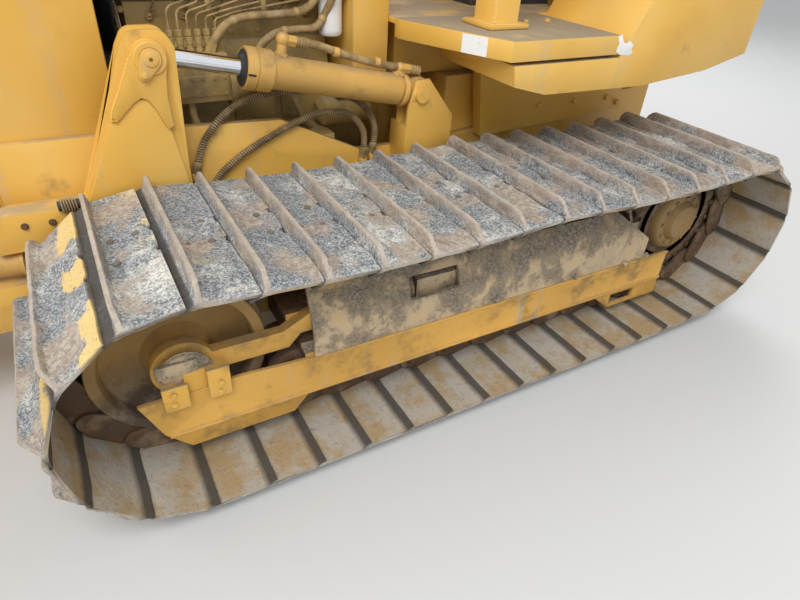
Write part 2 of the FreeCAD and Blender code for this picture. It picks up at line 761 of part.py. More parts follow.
for side, sign in SIDES:
    word = side.capitalize()
    for count, along in enumerate((-700, -1130)):
        start = half if sign > 0 else -(side_y - beam.half)
        pieces.append(cylinder("%sSupport%d" % (word, count), Y, hull.support,
                                 side_y - beam.half - half, along, start, hull.support_z))
    span = side_y - sprocket_face.web - half
    drive = turned(word + "FinalDrive", "Y", [
        (0, 0), (0, hull.drive + 20), (45, hull.drive + 20), (45, hull.drive),
        (span - 90, hull.drive), (span - 90, hull.drive_nose), (span, hull.drive_nose),
        (span, 0)], run.sprocket_x, half if sign > 0 else -half, axle_z,
        FreeCAD.Rotation(Z, 0 if sign > 0 else 180))
    node(side + "_final_drive", drive)
node("main_frame", fuse("MainFrame", *pieces))

HOSE_SIZES = {
    "radius": 12,  # hose radius
    "share": 0.45,  # part of the shorter run that a bend takes
    "gap": 1,  # clearance to the hull's side
    "end": 30,  # side of the square fitting at each end
}
tubing = table("hose", HOSE_SIZES)
# A route's columns: X, how far inboard of the outermost place the middle line lies, and Z
ROUTES = (
    ((-284, 0, 683), (-300, 0, 790), (-238, 8, 880), (-125, 18, 914), (10, 18, 932),
     (125, 18, 926), (212, 18, 898), (272, 0, 864), (330, 0, 800), (366, 0, 700)),
    ((-246, 0, 670), (-254, 0, 770), (-195, 0, 842), (-80, 0, 858), (60, 0, 812),
     (200, 0, 748), (300, 0, 676), (340, 0, 590)),
)
for side, sign in SIDES:
    word = side.capitalize()
    out = number(half + tubing.gap + tubing.radius)
    square = number(tubing.end)
    depth = out - number(half) + square / 2
    low = number(half) if sign > 0 else -number(half) - depth
    runs = []
    for route in ROUTES:
        spots = [FreeCAD.Vector(x, sign * (out - inboard), z) for x, inboard, z in route]
        solid, length, bends = hose(spots, number(tubing.radius), number(tubing.share))
        print("hose length %.0f, volume %.0f of %.0f, bends %s" % (
            length, solid.Volume, length * math.pi * number(tubing.radius) ** 2, bends))
        ends = [Part.makeBox(square, depth, square, FreeCAD.Vector(
            x - square / 2, low, z - square * 0.8)) for x, inboard, z in (route[0], route[-1])]
        runs.append(solid.fuse(ends).removeSplitter())
    node(side + "_hoses", plain(word + "Hoses", Part.makeCompound(runs)))

DRAWBAR_SIZES = {
    "rear_x": -2075,  # rear end
    "half": 75,  # half its width
    "low": 400,  # underside of the lower jaw
    "jaw": 34,  # jaw thickness
    "gap": 62,  # gap between the jaws
    "bore": 19,  # hitch pin bore radius
    "bore_x": -2020,  # hitch pin bore
}
drawbar = table("drawbar", DRAWBAR_SIZES)
jaw_top = drawbar.low + 2 * drawbar.jaw + drawbar.gap
hitch = box("DrawbarBlock", (drawbar.rear_x, hull.rear_x), (-drawbar.half, drawbar.half),
            (drawbar.low, jaw_top))
slot = box("DrawbarSlot", (drawbar.rear_x - 1, drawbar.rear_x + 150),
           (-drawbar.half - 1, drawbar.half + 1),
           (drawbar.low + drawbar.jaw, drawbar.low + drawbar.jaw + drawbar.gap))
bore = cylinder("DrawbarBore", Z, drawbar.bore, 400, drawbar.bore_x, 0, drawbar.low - 100)
base = box("DrawbarBase", (hull.rear_x - 40, hull.rear_x), (-200, 200), (530, 700))
neck = profile("DrawbarNeck", "Y", [
    (hull.rear_x - 40, 690), (hull.rear_x, 690), (hull.rear_x, drawbar.low),
    (-1900, drawbar.low), (-1900, jaw_top)], -drawbar.half, drawbar.half)
node("drawbar", cut("Drawbar", fuse("DrawbarBody", hitch, base, neck), slot, bore))


# Engine, open at both sides under the hood

ENGINE_SIZES = {
    "front_x": 470,  # front of the block
    "rear_x": -190,  # rear of the block
    "half": 225,  # half the block's width
    "sump_z": 560,  # oil pan's underside
    "deck_z": 1060,  # top of the block
    "head": 110,  # cylinder head height
    "pump_x": 204,  # injection pump's rear
    "pump": 176,  # injection pump's length
    "fan_x": 500,  # fan's rear face
    "fan_z": 960,  # fan centre
    "fan": 270,  # fan radius
    "fan_hub": 60,  # fan hub radius
    "blades": 6,  # fan blades
    "shaft": 22,  # fan shaft radius
}
engine = table("engine", ENGINE_SIZES)
block = profile("Crankcase", "X", [
    (-150, engine.sump_z), (150, engine.sump_z), (180, 700), (engine.half, 760),
    (engine.half, 960), (190, engine.deck_z), (-190, engine.deck_z), (-engine.half, 960),
    (-engine.half, 760), (-180, 700)], engine.rear_x, engine.front_x)
bell = cylinder("FlywheelHousing", X, 195, 150, engine.rear_x - 150, 0, 730)
nose = cylinder("FanShaft", X, engine.shaft, engine.fan_x - engine.front_x + 60,
                engine.front_x - 1, 0, engine.fan_z)
feet = [box("EngineFoot%d" % count, (along, along + 70), (-inner, inner), (690, 760))
        for count, along in enumerate((-150, 360))]
node("engine_block", fuse("EngineBlock", block, bell, nose, *feet))

head_top = engine.deck_z + engine.head
head = box("HeadBlock", (engine.rear_x + 10, engine.front_x - 10), (-150, 150),
           (engine.deck_z, head_top))
cover = profile("ValveCover", "X", [
    (-95, head_top - 1), (95, head_top - 1), (95, head_top + 60), (60, head_top + 92),
    (-60, head_top + 92), (-95, head_top + 60)], engine.rear_x + 30, engine.front_x - 30)
ports = [box("Port%d" % count, (-150 + 104 * count, -90 + 104 * count), (-230, -140),
             (engine.deck_z + 25, engine.deck_z + 85)) for count in range(6)]
log = cylinder("ExhaustLog", X, 42, 590, -150, -240, engine.deck_z + 56)
node("cylinder_head", fuse("CylinderHead", head, cover, log, *ports))

pump_end = engine.pump_x + engine.pump
pump = box("PumpBody", (engine.pump_x, pump_end), (engine.half, 350), (905, 1050))
governor = cylinder("Governor", X, 70, 90, engine.pump_x - 90, 296, 950)
drive = box("PumpDrive", (pump_end - 1, engine.front_x), (engine.half, 330), (880, 1010))
outlets = [cylinder("PumpOutlet%d" % count, Z, 11, 66, engine.pump_x + 18 + 28 * count, 300, 1049)
           for count in range(6)]
pump_body = fuse("InjectionPump", pump, governor, drive, *outlets)


def pipe_run(places, radius):
    """A square-sided pipe through a few places."""
    solids = []
    for start, end in zip(places, places[1:]):
        start, end = FreeCAD.Vector(*start), FreeCAD.Vector(*end)
        run_length = (end - start).Length
        solid = Part.makeBox(2 * radius, 2 * radius, run_length + 2 * radius,
                             FreeCAD.Vector(-radius, -radius, -radius))
        solid.Placement = FreeCAD.Placement(start, aim(end - start))
        solids.append(solid)
    return solids[0].fuse(solids[1:]) if len(solids) > 1 else solids[0]


lines = []
for count in range(6):
    start = number(engine.pump_x) + 18 + 28 * count
    end = -130 + 104 * count
    lines.append(pipe_run([(start, 300, 1115.3), (start, 300, 1180 + 12 * count),
                           (end, 262, 1222 + 6 * count), (end, 155, 1130)], 4))
lines = plain("FuelLines", Part.makeCompound(lines))

filter_x = -168
filter_base = box("FilterBase", (filter_x - 50, filter_x + 50), (240, 340), (1206, 1236))
filter_cans = [cylinder("FilterCan", Z, 44, 130, filter_x, 292, 1076.5)]
fuel_filter = fuse("FuelFilter", filter_base, *filter_cans)
node("fuel_system", together("FuelSystem", pump_body, lines, fuel_filter))

hub = cylinder("FanHub", X, engine.fan_hub, 46, engine.fan_x, 0, 0)
blade_shapes = []
for count in range(int(number(engine.blades))):
    paddle = Part.makeBox(7, number(engine.fan) - 40, 110, FreeCAD.Vector(-3.5, 40, -55))
    paddle.rotate(FreeCAD.Vector(0, 0, 0), Y, 32)
    paddle.translate(FreeCAD.Vector(number(engine.fan_x) + 23, 0, 0))
    paddle.rotate(FreeCAD.Vector(0, 0, 0), X, 360 * count / number(engine.blades))
    blade_shapes.append(paddle)
fan_body = fuse("FanBody", hub, *[plain("FanBlade%d" % count, shape)
                                  for count, shape in enumerate(blade_shapes)])
fan_bore = cylinder("FanBore", X, engine.shaft + pivot.clear, 100, engine.fan_x - 20, 0, 0)
fan = node("engine_fan", cut("Fan", fan_body, fan_bore))
place(fan, 0, 0, engine.fan_z)


# Radiator guard, grille, hood, cowl and what stands on the hood

SHELL_SIZES = {
    "half": 363,  # half the width of the guard and hood
    "wall": 8,  # sheet thickness
    "guard_x": 556,  # rear of the radiator guard
    "front_x": 925,  # front of the radiator guard
    "grille_inset": 12,  # grille narrower than the guard, a side
    "guard_z": 705,  # bottom of the guard's sides
    "skirt_z": 1330,  # bottom of the hood's skirts
    "shoulder_z": 1560,  # top of the skirts
    "top_z": 1642,  # top of the hood
    "flat": 290,  # half the flat of the hood
    "cowl_x": -220,  # front of the cowl
    "cowl_rear_x": -357,  # rear of the cowl
    "bars": 11,  # grille bars
    "bar": 22,  # grille bar height
}
shell = table("shell", SHELL_SIZES)


def hood_section(low_z):
    """The bent sheet across the machine, from its left edge round to its right edge."""
    outer = [(shell.half, low_z), (shell.half, shell.shoulder_z), (shell.flat, shell.top_z),
             (-shell.flat, shell.top_z), (-shell.half, shell.shoulder_z), (-shell.half, low_z)]
    inner = [(-shell.half + shell.wall, low_z), (-shell.half + shell.wall, shell.shoulder_z - 3),
             (-shell.flat + 3, shell.top_z - shell.wall), (shell.flat - 3, shell.top_z - shell.wall),
             (shell.half - shell.wall, shell.shoulder_z - 3), (shell.half - shell.wall, low_z)]
    return outer + inner


guard = profile("GuardShell", "X", hood_section(shell.guard_z), shell.guard_x, shell.front_x - 16)
sill = box("GuardSill", (shell.guard_x, shell.front_x - 16),
           (-shell.half + 1, shell.half - 1), (shell.guard_z, shell.guard_z + 12))
skirts = []
for side, sign in SIDES:
    low, high = sorted((sign * (shell.half - shell.wall), sign * shell.half), key=number)
    skirts.append(profile(side.capitalize() + "LowerPanel", "Y", [
        (shell.guard_x + 40, 620), (shell.front_x - 16, 620),
        (shell.front_x - 16, shell.guard_z + 1), (shell.guard_x, shell.guard_z + 1),
        (shell.guard_x, 660)], low, high))
node("radiator_guard", fuse("RadiatorGuard", guard, sill, *skirts))

radiator = box("Core", (640, 740), (-shell.half + 30, shell.half - 30), (760, 1500))
tank_top = box("HeaderTank", (630, 750), (-shell.half + 60, shell.half - 60), (1499, 1590))
tank_low = box("FooterTank", (630, 750), (-shell.half + 24, shell.half - 24),
               (shell.guard_z + 12, 761))
shroud = box("Shroud", (560, 641), (-300, 300), (660 + 60, 1240))
mouth = cylinder("ShroudMouth", X, engine.fan + 16, 70, 559, 0, engine.fan_z)
node("radiator", cut("Radiator", fuse("RadiatorBody", radiator, tank_top, tank_low, shroud), mouth))

grille_half = shell.half - shell.grille_inset
grille_flat = shell.flat - shell.grille_inset
frame_front = profile("GrilleFrame", "X", [
    (grille_half, 620), (grille_half, shell.shoulder_z), (grille_flat, shell.top_z),
    (-grille_flat, shell.top_z), (-grille_half, shell.shoulder_z), (-grille_half, 620)],
    shell.front_x - 16, shell.front_x)
grille_top = 1520
grille_low = 760
hole = box("GrilleHole", (shell.front_x - 17, shell.front_x + 1), (-300, 300),
           (grille_low, grille_top))
bars = []
count = int(number(shell.bars))
step = (grille_top - grille_low) / count
for index in range(count):
    low = grille_low + step * (index + 0.5) - shell.bar / 2
    bars.append(box("GrilleBar%d" % index, (shell.front_x - 13, shell.front_x - 3), (-301, 301),
                    (low, low + shell.bar)))
posts = [box("GrillePost%d" % index, (shell.front_x - 15, shell.front_x - 4), (y - 8, y + 8),
             (grille_low - 1, grille_top + 1)) for index, y in enumerate((-150, 0, 150))]
node("front_grille", fuse("FrontGrille", cut("GrilleSheet", frame_front, hole), *bars, *posts))

hood = profile("HoodShell", "X", hood_section(shell.skirt_z), shell.cowl_x, shell.guard_x)
STACK_SIZES = {
    "pipe_x": 170,  # exhaust stack
    "pipe_y": -170,  # its place across
    "pipe": 46,  # its radius
    "muffler": 92,  # muffler radius
    "muffler_low": 1690,  # muffler's bottom
    "muffler_high": 2130,  # muffler's top
    "top_z": 2420,  # top of the stack
    "cleaner_x": -78,  # air inlet
    "cleaner_y": 142,  # its place across
    "cleaner": 44,  # its pipe's radius
    "bowl": 98,  # pre-cleaner radius
    "bowl_low": 1800,  # pre-cleaner's bottom
    "bowl_high": 1960,  # pre-cleaner's top
}
stack = table("stack", STACK_SIZES)
openings = [cylinder("StackHole", Z, stack.pipe + 6, 200, stack.pipe_x, stack.pipe_y, 1500),
            cylinder("CleanerHole", Z, stack.cleaner + 6, 200, stack.cleaner_x,
                     stack.cleaner_y, 1500)]
node("hood", cut("Hood", hood, *openings))
manifold_top = number(engine.deck_z) + 56
elbow = box("StackFoot", (stack.pipe_x - 44, stack.pipe_x + 44), (-284, -152),
            (manifold_top + 42, manifold_top + 100))
exhaust = turned("Stack", "Z", [
    (manifold_top + 99, 0), (manifold_top + 99, stack.pipe), (stack.muffler_low, stack.pipe),
    (stack.muffler_low, stack.muffler), (stack.muffler_high, stack.muffler),
    (stack.muffler_high, stack.pipe), (stack.top_z, stack.pipe), (stack.top_z, stack.pipe - 5),
    (stack.muffler_high + 10, stack.pipe - 5), (stack.muffler_high + 10, 0)],
    stack.pipe_x, stack.pipe_y, 0)
node("exhaust_stack", fuse("ExhaustStack", elbow, exhaust))
inlet = turned("AirInlet", "Z", [
    (head_top + 0.3, 0), (head_top + 0.3, stack.cleaner), (stack.bowl_low - 30, stack.cleaner),
    (stack.bowl_low - 30, stack.bowl - 30), (stack.bowl_low, stack.bowl - 30),
    (stack.bowl_low, stack.bowl), (stack.bowl_high, stack.bowl),
    (stack.bowl_high, stack.bowl - 30), (stack.bowl_high + 30, stack.bowl - 30),
    (stack.bowl_high + 30, 0)],
    stack.cleaner_x, stack.cleaner_y, 0)
node("air_cleaner", inlet)

cowl = profile("Cowl", "Y", [
    (shell.cowl_x, 931), (shell.cowl_x, shell.top_z), (-330, shell.top_z + 30),
    (shell.cowl_rear_x - 40, 1500), (shell.cowl_rear_x, 1380), (shell.cowl_rear_x, 931)],
    -shell.half, shell.half)
node("dash_cowl", cowl)


# Operator's station: floor, fenders, consoles, seat, levers and canopy

DECK_SIZES = {
    "top": 1145,  # platform height
    "thick": 60,  # platform edge
    "inner": 445,  # platform's inner front corner
    "half": 837,  # half the width over the fenders
    "front_in_x": -361,  # inner front corner
    "front_out_x": -528,  # outer front corner
    "rear_x": -985,  # rear of the step
    "fender_top": 1074,  # fender's top
    "fender_rear_x": -1712,  # fender's rear
    "console_x": -1000,  # console's front at its foot
    "console_top": 1430,  # console's top
    "console_in": 400,  # console's inner side
    "floor": 20,  # floor plate
    "post": 100,  # canopy post along the machine
    "post_y": 540,  # canopy post's inner face
    "post_wide": 112,  # canopy post across the machine
    "post_x": -586,  # front of the front posts
    "post_rear_x": -1560,  # front of the rear posts
    "roof_z": 2610,  # canopy's underside
    "roof": 86,  # canopy's depth
    "roof_half": 735,  # half the canopy's width
    "roof_front_x": -420,  # canopy's front
    "roof_rear_x": -1800,  # canopy's rear
}
deck = table("deck", DECK_SIZES)
floor_front = box("FloorPlate", (deck.rear_x - 200, shell.cowl_rear_x - 2),
                  (-deck.console_in, deck.console_in), (deck.top - deck.floor, deck.top))
floor_riser = box("FloorRiser", (deck.rear_x - 200, shell.cowl_rear_x - 60), (-300, 300),
                  (hull.case_top, deck.top - deck.floor + 1))
node("floor", fuse("Floor", floor_front, floor_riser))
for side, sign in SIDES:
    word = side.capitalize()
    low, high = sorted((sign * deck.console_in, sign * deck.half), key=number)
    fender = profile(word + "FenderBox", "Y", [
        (-543, deck.fender_top), (-558, 1009), (-690, 976), (-1145, 969), (-1490, 1000),
        (deck.fender_rear_x, 1050), (deck.fender_rear_x, deck.fender_top)], low, high)
    step = profile(word + "StepPlate", "Z", [
        (deck.front_in_x, sign * deck.inner), (deck.front_out_x, sign * deck.half),
        (deck.rear_x, sign * deck.half), (deck.rear_x, sign * (deck.console_in + 1)),
        (deck.front_in_x, sign * (deck.console_in + 1))], deck.top - deck.thick, deck.top)
    riser = profile(word + "StepRiser", "Z", [
        (-440, sign * 520), (-580, sign * 800), (deck.rear_x, sign * 800),
        (deck.rear_x, sign * 520)], deck.fender_top - 1, deck.top - deck.thick + 1)
    low, high = sorted((sign * half, sign * (deck.console_in + 40)), key=number)
    bracket = profile(word + "FenderBracket", "Y", [
        (-760, 700), (-720, 980), (-1500, 980), (-1560, 740)], low, high)
    low, high = sorted((sign * deck.console_in, sign * deck.half), key=number)
    console = profile(word + "ConsoleBox", "Y", [
        (deck.console_x, deck.fender_top), (-1110, 1272), (-1190, deck.console_top),
        (-1640, deck.console_top), (deck.fender_rear_x, 1300),
        (deck.fender_rear_x, deck.fender_top)], low, high)
    node(side + "_fender", fuse(word + "Fender", fender, step, riser, bracket, console))

tank = profile("FuelTank", "Y", [
    (-1390, hull.case_top), (-1390, 1680), (-1440, 1730), (-1690, 1730), (-1745, 1680),
    (-1745, hull.case_top)], -hull.half + 2, hull.half - 2)
node("fuel_tank", tank)
SEAT_SIZES = {
    "base_x": -1210,  # rear of the pedestal
    "base": 400,  # pedestal length
    "base_half": 210,  # half the pedestal's width
    "pan_z": 1400,  # seat pan height
    "cushion": 120,  # cushion thickness
    "half": 250,  # half the cushion's width
    "length": 490,  # cushion length
    "back": 560,  # backrest height
    "back_thick": 120,  # backrest thickness
}
seat = table("seat", SEAT_SIZES)
pedestal = box("SeatPedestal", (seat.base_x, seat.base_x + seat.base),
               (-seat.base_half, seat.base_half), (deck.top, seat.pan_z))
back_plate = box("SeatBackPlate", (seat.base_x - 150, seat.base_x - 130),
                 (-seat.base_half, seat.base_half), (seat.pan_z - 30, seat.pan_z + 500))
back_foot = box("SeatBackFoot", (seat.base_x - 150, seat.base_x + 1),
                (-seat.base_half, seat.base_half), (seat.pan_z - 30, seat.pan_z - 10))
node("seat_base", fuse("SeatBase", pedestal, back_plate, back_foot))
node("seat_cushion", box("SeatCushion", (seat.base_x - 5, seat.base_x - 5 + seat.length),
                         (-seat.half, seat.half),
                         (seat.pan_z + 0.3, seat.pan_z + seat.cushion)))
back_x = seat.base_x - 130 + 0.3
node("seat_backrest", box("SeatBackrest", (back_x, back_x + seat.back_thick),
                          (-seat.half, seat.half),
                          (seat.pan_z + seat.cushion + 1, seat.pan_z + seat.cushion + seat.back)))

levers = []
for count, (x, y, z, tall, lean) in enumerate((
        (-1230, 470, 1430, 170, 8), (-1290, 510, 1430, 140, -4), (-1230, -470, 1430, 210, 12),
        (-1290, -510, 1430, 150, 0))):
    stick = cylinder("LeverStick%d" % count, Z, 9, tall, x, y, z)
    knob = cylinder("LeverKnob%d" % count, Z, 21, 56, x, y, z + tall - 6)
    levers.append(fuse("Lever%d" % count, stick, knob))
node("levers", together("Levers", *levers))

posts = []
for side, sign in SIDES:
    word = side.capitalize()
    low, high = sorted((sign * deck.post_y, sign * (deck.post_y + deck.post_wide)), key=number)
    for count, (front, foot) in enumerate(((deck.post_x, deck.top),
                                           (deck.post_rear_x, deck.console_top))):
        posts.append(box("%sPost%d" % (word, count), (front - deck.post, front), (low, high),
                         (foot, deck.roof_z)))
        posts.append(box("%sPostFoot%d" % (word, count), (front - deck.post - 30, front + 30),
                         (low - 25, high + 25), (foot, foot + 16)))
    posts.append(box(word + "Rail", (deck.post_rear_x - 1, deck.post_x - deck.post + 1),
                     (low + 10, high - 10), (deck.roof_z - 90, deck.roof_z)))
for count, front in enumerate((deck.post_x, deck.post_rear_x)):
    posts.append(box("CrossRail%d" % count, (front - deck.post + 10, front - 10),
                     (-deck.post_y - 1, deck.post_y + 1), (deck.roof_z - 90, deck.roof_z)))
node("canopy_posts", fuse("CanopyPosts", *posts))
roof_top = deck.roof_z + deck.roof
roof = profile("Roof", "Y", [
    (deck.roof_front_x, deck.roof_z), (deck.roof_front_x, deck.roof_z + 40),
    (deck.roof_front_x - 90, roof_top), (deck.roof_rear_x + 60, roof_top),
    (deck.roof_rear_x, deck.roof_z + 50), (deck.roof_rear_x, deck.roof_z)],
    -deck.roof_half, deck.roof_half)
node("canopy_roof", roof)
lamps = []
for count, y in enumerate((-610, 610)):
    lamps.append(cylinder("FrontLamp%d" % count, X, 62, 70, deck.roof_front_x - 70, y,
                          deck.roof_z - 70))
    lamps.append(box("FrontLampFoot%d" % count,
                     (deck.roof_front_x - 50, deck.roof_front_x - 20), (y - 20, y + 20),
                     (deck.roof_z - 30, deck.roof_z)))
    lamps.append(cylinder("RearLamp%d" % count, X, 62, 70, deck.roof_rear_x, y,
                          deck.roof_z - 70))
    lamps.append(box("RearLampFoot%d" % count,
                     (deck.roof_rear_x + 20, deck.roof_rear_x + 50), (y - 20, y + 20),
                     (deck.roof_z - 30, deck.roof_z)))
node("lamps", together("Lamps", *[fuse("Lamp%d" % count, lamps[2 * count], lamps[2 * count + 1])
                                  for count in range(4)]))


# Blade frame: two arms beside the hull, a cross box ahead of it, the nose and the towers

ARM_SIZES = {
    "low_z": 322,  # underside of the arms
    "rear_top_z": 430,  # top of the arms at the rear
    "front_top_z": 470,  # top of the arms and the cross box
    "eye": 78,  # rear eye radius
    "cross_x": 1150,  # rear of the cross box
    "cross": 150,  # cross box along the machine
    "nose_half": 112,  # half the nose's width
    "nose_x": 1490,  # front of the ball's cup
    "ball_x": 1480,  # ball centre
    "ball_z": 430,  # its height
    "ball": 80,  # ball radius
    "ball_clear": 0.6,  # clearance round the ball
    "tower_foot": 385,  # rear of the tower's foot
    "tower_front": 790,  # front of the tower's foot
    "tower_round": 40,  # tower's top corners
}
arm = table("arm", ARM_SIZES)
arm_low = ear_in - pivot.ear
arm_high = ear_out + pivot.ear
arm_z = pivot.frame_z
frame_parts = []
for side, sign in SIDES:
    word = side.capitalize()
    low, high = sorted((sign * arm_low, sign * arm_high), key=number)
    bar = profile(word + "Arm", "Y", [
        (pivot.frame_x, arm_z - arm.eye * 0.68), (pivot.frame_x + 160, arm.low_z),
        (arm.cross_x + arm.cross, arm.low_z), (arm.cross_x + arm.cross, arm.front_top_z),
        (320, arm.front_top_z), (pivot.frame_x + 160, arm.rear_top_z),
        (pivot.frame_x, arm_z + arm.eye * 0.68)], low, high)
    eye = cylinder(word + "ArmEye", Y, arm.eye, high - low, pivot.frame_x, low, arm_z)
    frame_parts += [bar, eye]
    tower_outline = [
        (arm.tower_foot, arm.front_top_z - 2), (arm.tower_front, arm.front_top_z - 2),
        (713, 671), (532, 1108), (506, 1154), (412, 1154), (388, 1108), (399, 760)]
    for count, inside in enumerate((ear_in - pivot.ear, ear_out)):
        low, high = sorted((sign * inside, sign * (inside + pivot.ear)), key=number)
        frame_parts.append(profile("%sTower%d" % (word, count), "Y", tower_outline, low, high,
                                   [(4, arm.tower_round), (5, arm.tower_round)]))
        start, reach = (low, -16) if (count == 0) == (sign > 0) else (high, 16)
        start = start if reach > 0 else start + reach
        frame_parts.append(cylinder("%sTowerPin%d" % (word, count), Y, 46, 16.5 if reach < 0 else 16,
                                    pivot.tower_x, start, pivot.tower_z))
    low, high = sorted((sign * (ear_out + pivot.ear - 1), sign * (ear_out + 2 * pivot.ear)),
                       key=number)
    frame_parts.append(profile(word + "Doubler", "Y", [
        (arm.tower_foot + 2, arm.front_top_z), (arm.tower_front - 4, arm.front_top_z),
        (700, 690), (584, 934), (540, 960), (512, 978), (484, 980), (458, 962), (438, 900),
        (410, 740)], low, high))
    low, high = sorted((sign * (arm_low + 1), sign * (arm_high - 1)), key=number)
    frame_parts.append(profile(word + "TowerWeb", "Y", [
        (560, arm.front_top_z - 1), (700, arm.front_top_z - 1), (690, 690), (600, 900),
        (590, 880), (668, 690)], low, high))
    frame_parts.append(profile(word + "HoseGuard", "Y", [
        (700, 600), (730, 577), (955, 577), (955, 680), (900, 692), (690, 692)], low, high))
frame_parts.append(box("CrossBox", (arm.cross_x, arm.cross_x + arm.cross),
                       (-arm_high + 1, arm_high - 1), (arm.low_z + 6, arm.front_top_z)))
neck = profile("FrameNose", "Z", [
    (arm.cross_x + 1, -330), (arm.cross_x + arm.cross, -330), (1400, -arm.nose_half),
    (arm.nose_x, -arm.nose_half), (arm.nose_x, arm.nose_half), (1400, arm.nose_half),
    (arm.cross_x + arm.cross, 330), (arm.cross_x + 1, 330)], arm.low_z + 8, 520)
cup = doc.addObject("Part::Sphere", "BallCup")
bind(cup, "Radius", arm.ball + arm.ball_clear)
place(cup, arm.ball_x, 0, arm.ball_z)
mouth = turned("CupMouth", "X", [
    (1, 0), (1, arm.ball - 2), (60, arm.ball + 30), (60, 0)], arm.ball_x, 0, arm.ball_z)
relief = box("NoseRelief", (arm.cross_x, 1360), (-400, 400), (arm.front_top_z + 0.5, 540))
lower_pin = pivot.frame_pin + pivot.clear
bores = [cylinder("ArmBore", Y, lower_pin, 2000, pivot.frame_x, -1000, arm_z)]


# Angle cylinders lie on the cross box, between the arms and the yoke behind the blade

ANGLE_SIZES = {
    "x": 840,  # rear pin
    "y": 468,  # its place across
    "z": 527,  # height of both pins
    "yoke_x": 1640,  # front pin
    "yoke_y": 330,  # its place across
    "barrel": 43,  # barrel radius
    "rod": 20,  # rod radius
    "eye": 40,  # eye radius
    "eye_high": 44,  # eye height
    "pin": 18,  # pin radius
    "ear": 14,  # ear thickness
    "gap": 3,  # clearance above and below an eye
    "barrel_end": 560,  # gland face from the rear pin
}
angle = table("angle", ANGLE_SIZES)
for side, sign in SIDES:
    word = side.capitalize()
    seat_low = angle.z - angle.eye_high / 2 - angle.gap
    frame_parts.append(box(word + "AngleSeat", (angle.x - 50, angle.x + 40),
                           sorted((sign * (arm_low + 2), sign * (arm_high - 2)), key=number),
                           (arm.front_top_z - 1, seat_low)))
    frame_parts.append(cylinder(word + "AnglePin", Z, angle.pin,
                                angle.eye_high + 2 * angle.gap + 2, angle.x, sign * angle.y,
                                seat_low - 1))
node("c_frame", cut("BladeFrame", fuse("BladeFrameBody", *frame_parts, neck),
                    cup, mouth, relief, *bores))

YOKE_SIZES = {
    "back_x": 1588,  # rear of the yoke
    "front_x": 1672,  # front of the yoke
    "hub": 120,  # hub radius
    "trunnion": 62,  # tilt trunnion radius
    "trunnion_end": 1752,  # front of the tilt trunnion
    "mast_y": 150,  # tilt mast's inner side
    "mast": 90,  # tilt mast's width
    "mast_top": 960,  # tilt mast's top
    "tilt_z": 905,  # tilt cylinder's pins
    "tilt_y": 196,  # its pin on the mast
    "blade_y": -430,  # its pin on the blade
    "tilt_x": 1632,  # its place along the machine
}
yoke = table("yoke", YOKE_SIZES)
ball = doc.addObject("Part::Sphere", "Ball")
bind(ball, "Radius", arm.ball)
place(ball, arm.ball_x, 0, arm.ball_z)
ball_parts = [
    ball,
    cylinder("BallNeck", X, 50, yoke.back_x - arm.ball_x, arm.ball_x, 0, arm.ball_z),
    cylinder("YokeHub", X, yoke.hub, yoke.front_x - yoke.back_x, yoke.back_x, 0, arm.ball_z),
    cylinder("Trunnion", X, yoke.trunnion, yoke.trunnion_end - yoke.front_x + 1,
             yoke.front_x - 1, 0, arm.ball_z),
    profile("YokeBeam", "X", [
        (-380, 440), (-110, 330), (110, 330), (380, 440), (380, 480), (110, 500),
        (-110, 500), (-380, 480)], yoke.back_x, yoke.front_x),
    box("TiltMast", (yoke.back_x, yoke.back_x + 20),
        (yoke.mast_y, yoke.mast_y + yoke.mast), (400, yoke.mast_top)),
    box("TiltMastFront", (yoke.front_x - 16, yoke.front_x),
        (yoke.mast_y, yoke.mast_y + yoke.mast), (400, yoke.mast_top)),
    box("TiltMastWeb", (yoke.back_x + 1, yoke.front_x - 1),
        (yoke.mast_y + 20, yoke.mast_y + yoke.mast - 20), (400, 800)),
    cylinder("TiltMastPin", X, 20, yoke.front_x - yoke.back_x, yoke.back_x, yoke.tilt_y,
             yoke.tilt_z),
]
for side, sign in SIDES:
    word = side.capitalize()
    for count, low in enumerate((angle.z - angle.eye_high / 2 - angle.gap - angle.ear,
                                 angle.z + angle.eye_high / 2 + angle.gap)):
        wide = [(yoke.back_x + 2, sign * 200), (yoke.front_x - 2, sign * 200),
                (yoke.front_x - 2, sign * 376), (yoke.back_x + 2, sign * 376)]
        ball_parts.append(profile("%sAngleEar%d" % (word, count), "Z", wide, low,
                                  low + angle.ear))
    low, high = sorted((sign * 198, sign * 236), key=number)
    ball_parts.append(box(word + "AngleWeb", (yoke.back_x + 2, yoke.front_x - 2), (low, high),
                          (470, angle.z + angle.eye_high / 2 + angle.gap + angle.ear)))
node("blade_ball", fuse("BladeBall", *ball_parts))


# Blade: curved sheet between end plates, with beams and ribs behind, and its edge

BLADE_SIZES = {
    "half": 1550,  # half the blade's width
    "top_z": 980,  # top of the blade
    "bottom_z": 2,  # bottom of the cutting edge
    "sheet_z": 150,  # bottom of the curved sheet
    "front_x": 2075,  # front of the cutting edge
    "depth": 128,  # how far the sheet curves back
    "sheet": 16,  # sheet thickness
    "beam_x": 1800,  # rear of the back beams
    "back_x": 1762,  # rear of the trunnion plate
}
blade = table("blade", BLADE_SIZES)
top_x = blade.front_x - 45
sheet_foot = blade.front_x - 26


def curve_x(z):
    """Front of the sheet at a height: a straight line between the ends, bowed back."""
    share = (z - number(blade.sheet_z)) / (number(blade.top_z) - number(blade.sheet_z))
    bow = 4 * share * (1 - share)
    return sheet_foot + (top_x - sheet_foot) * share - blade.depth * bow


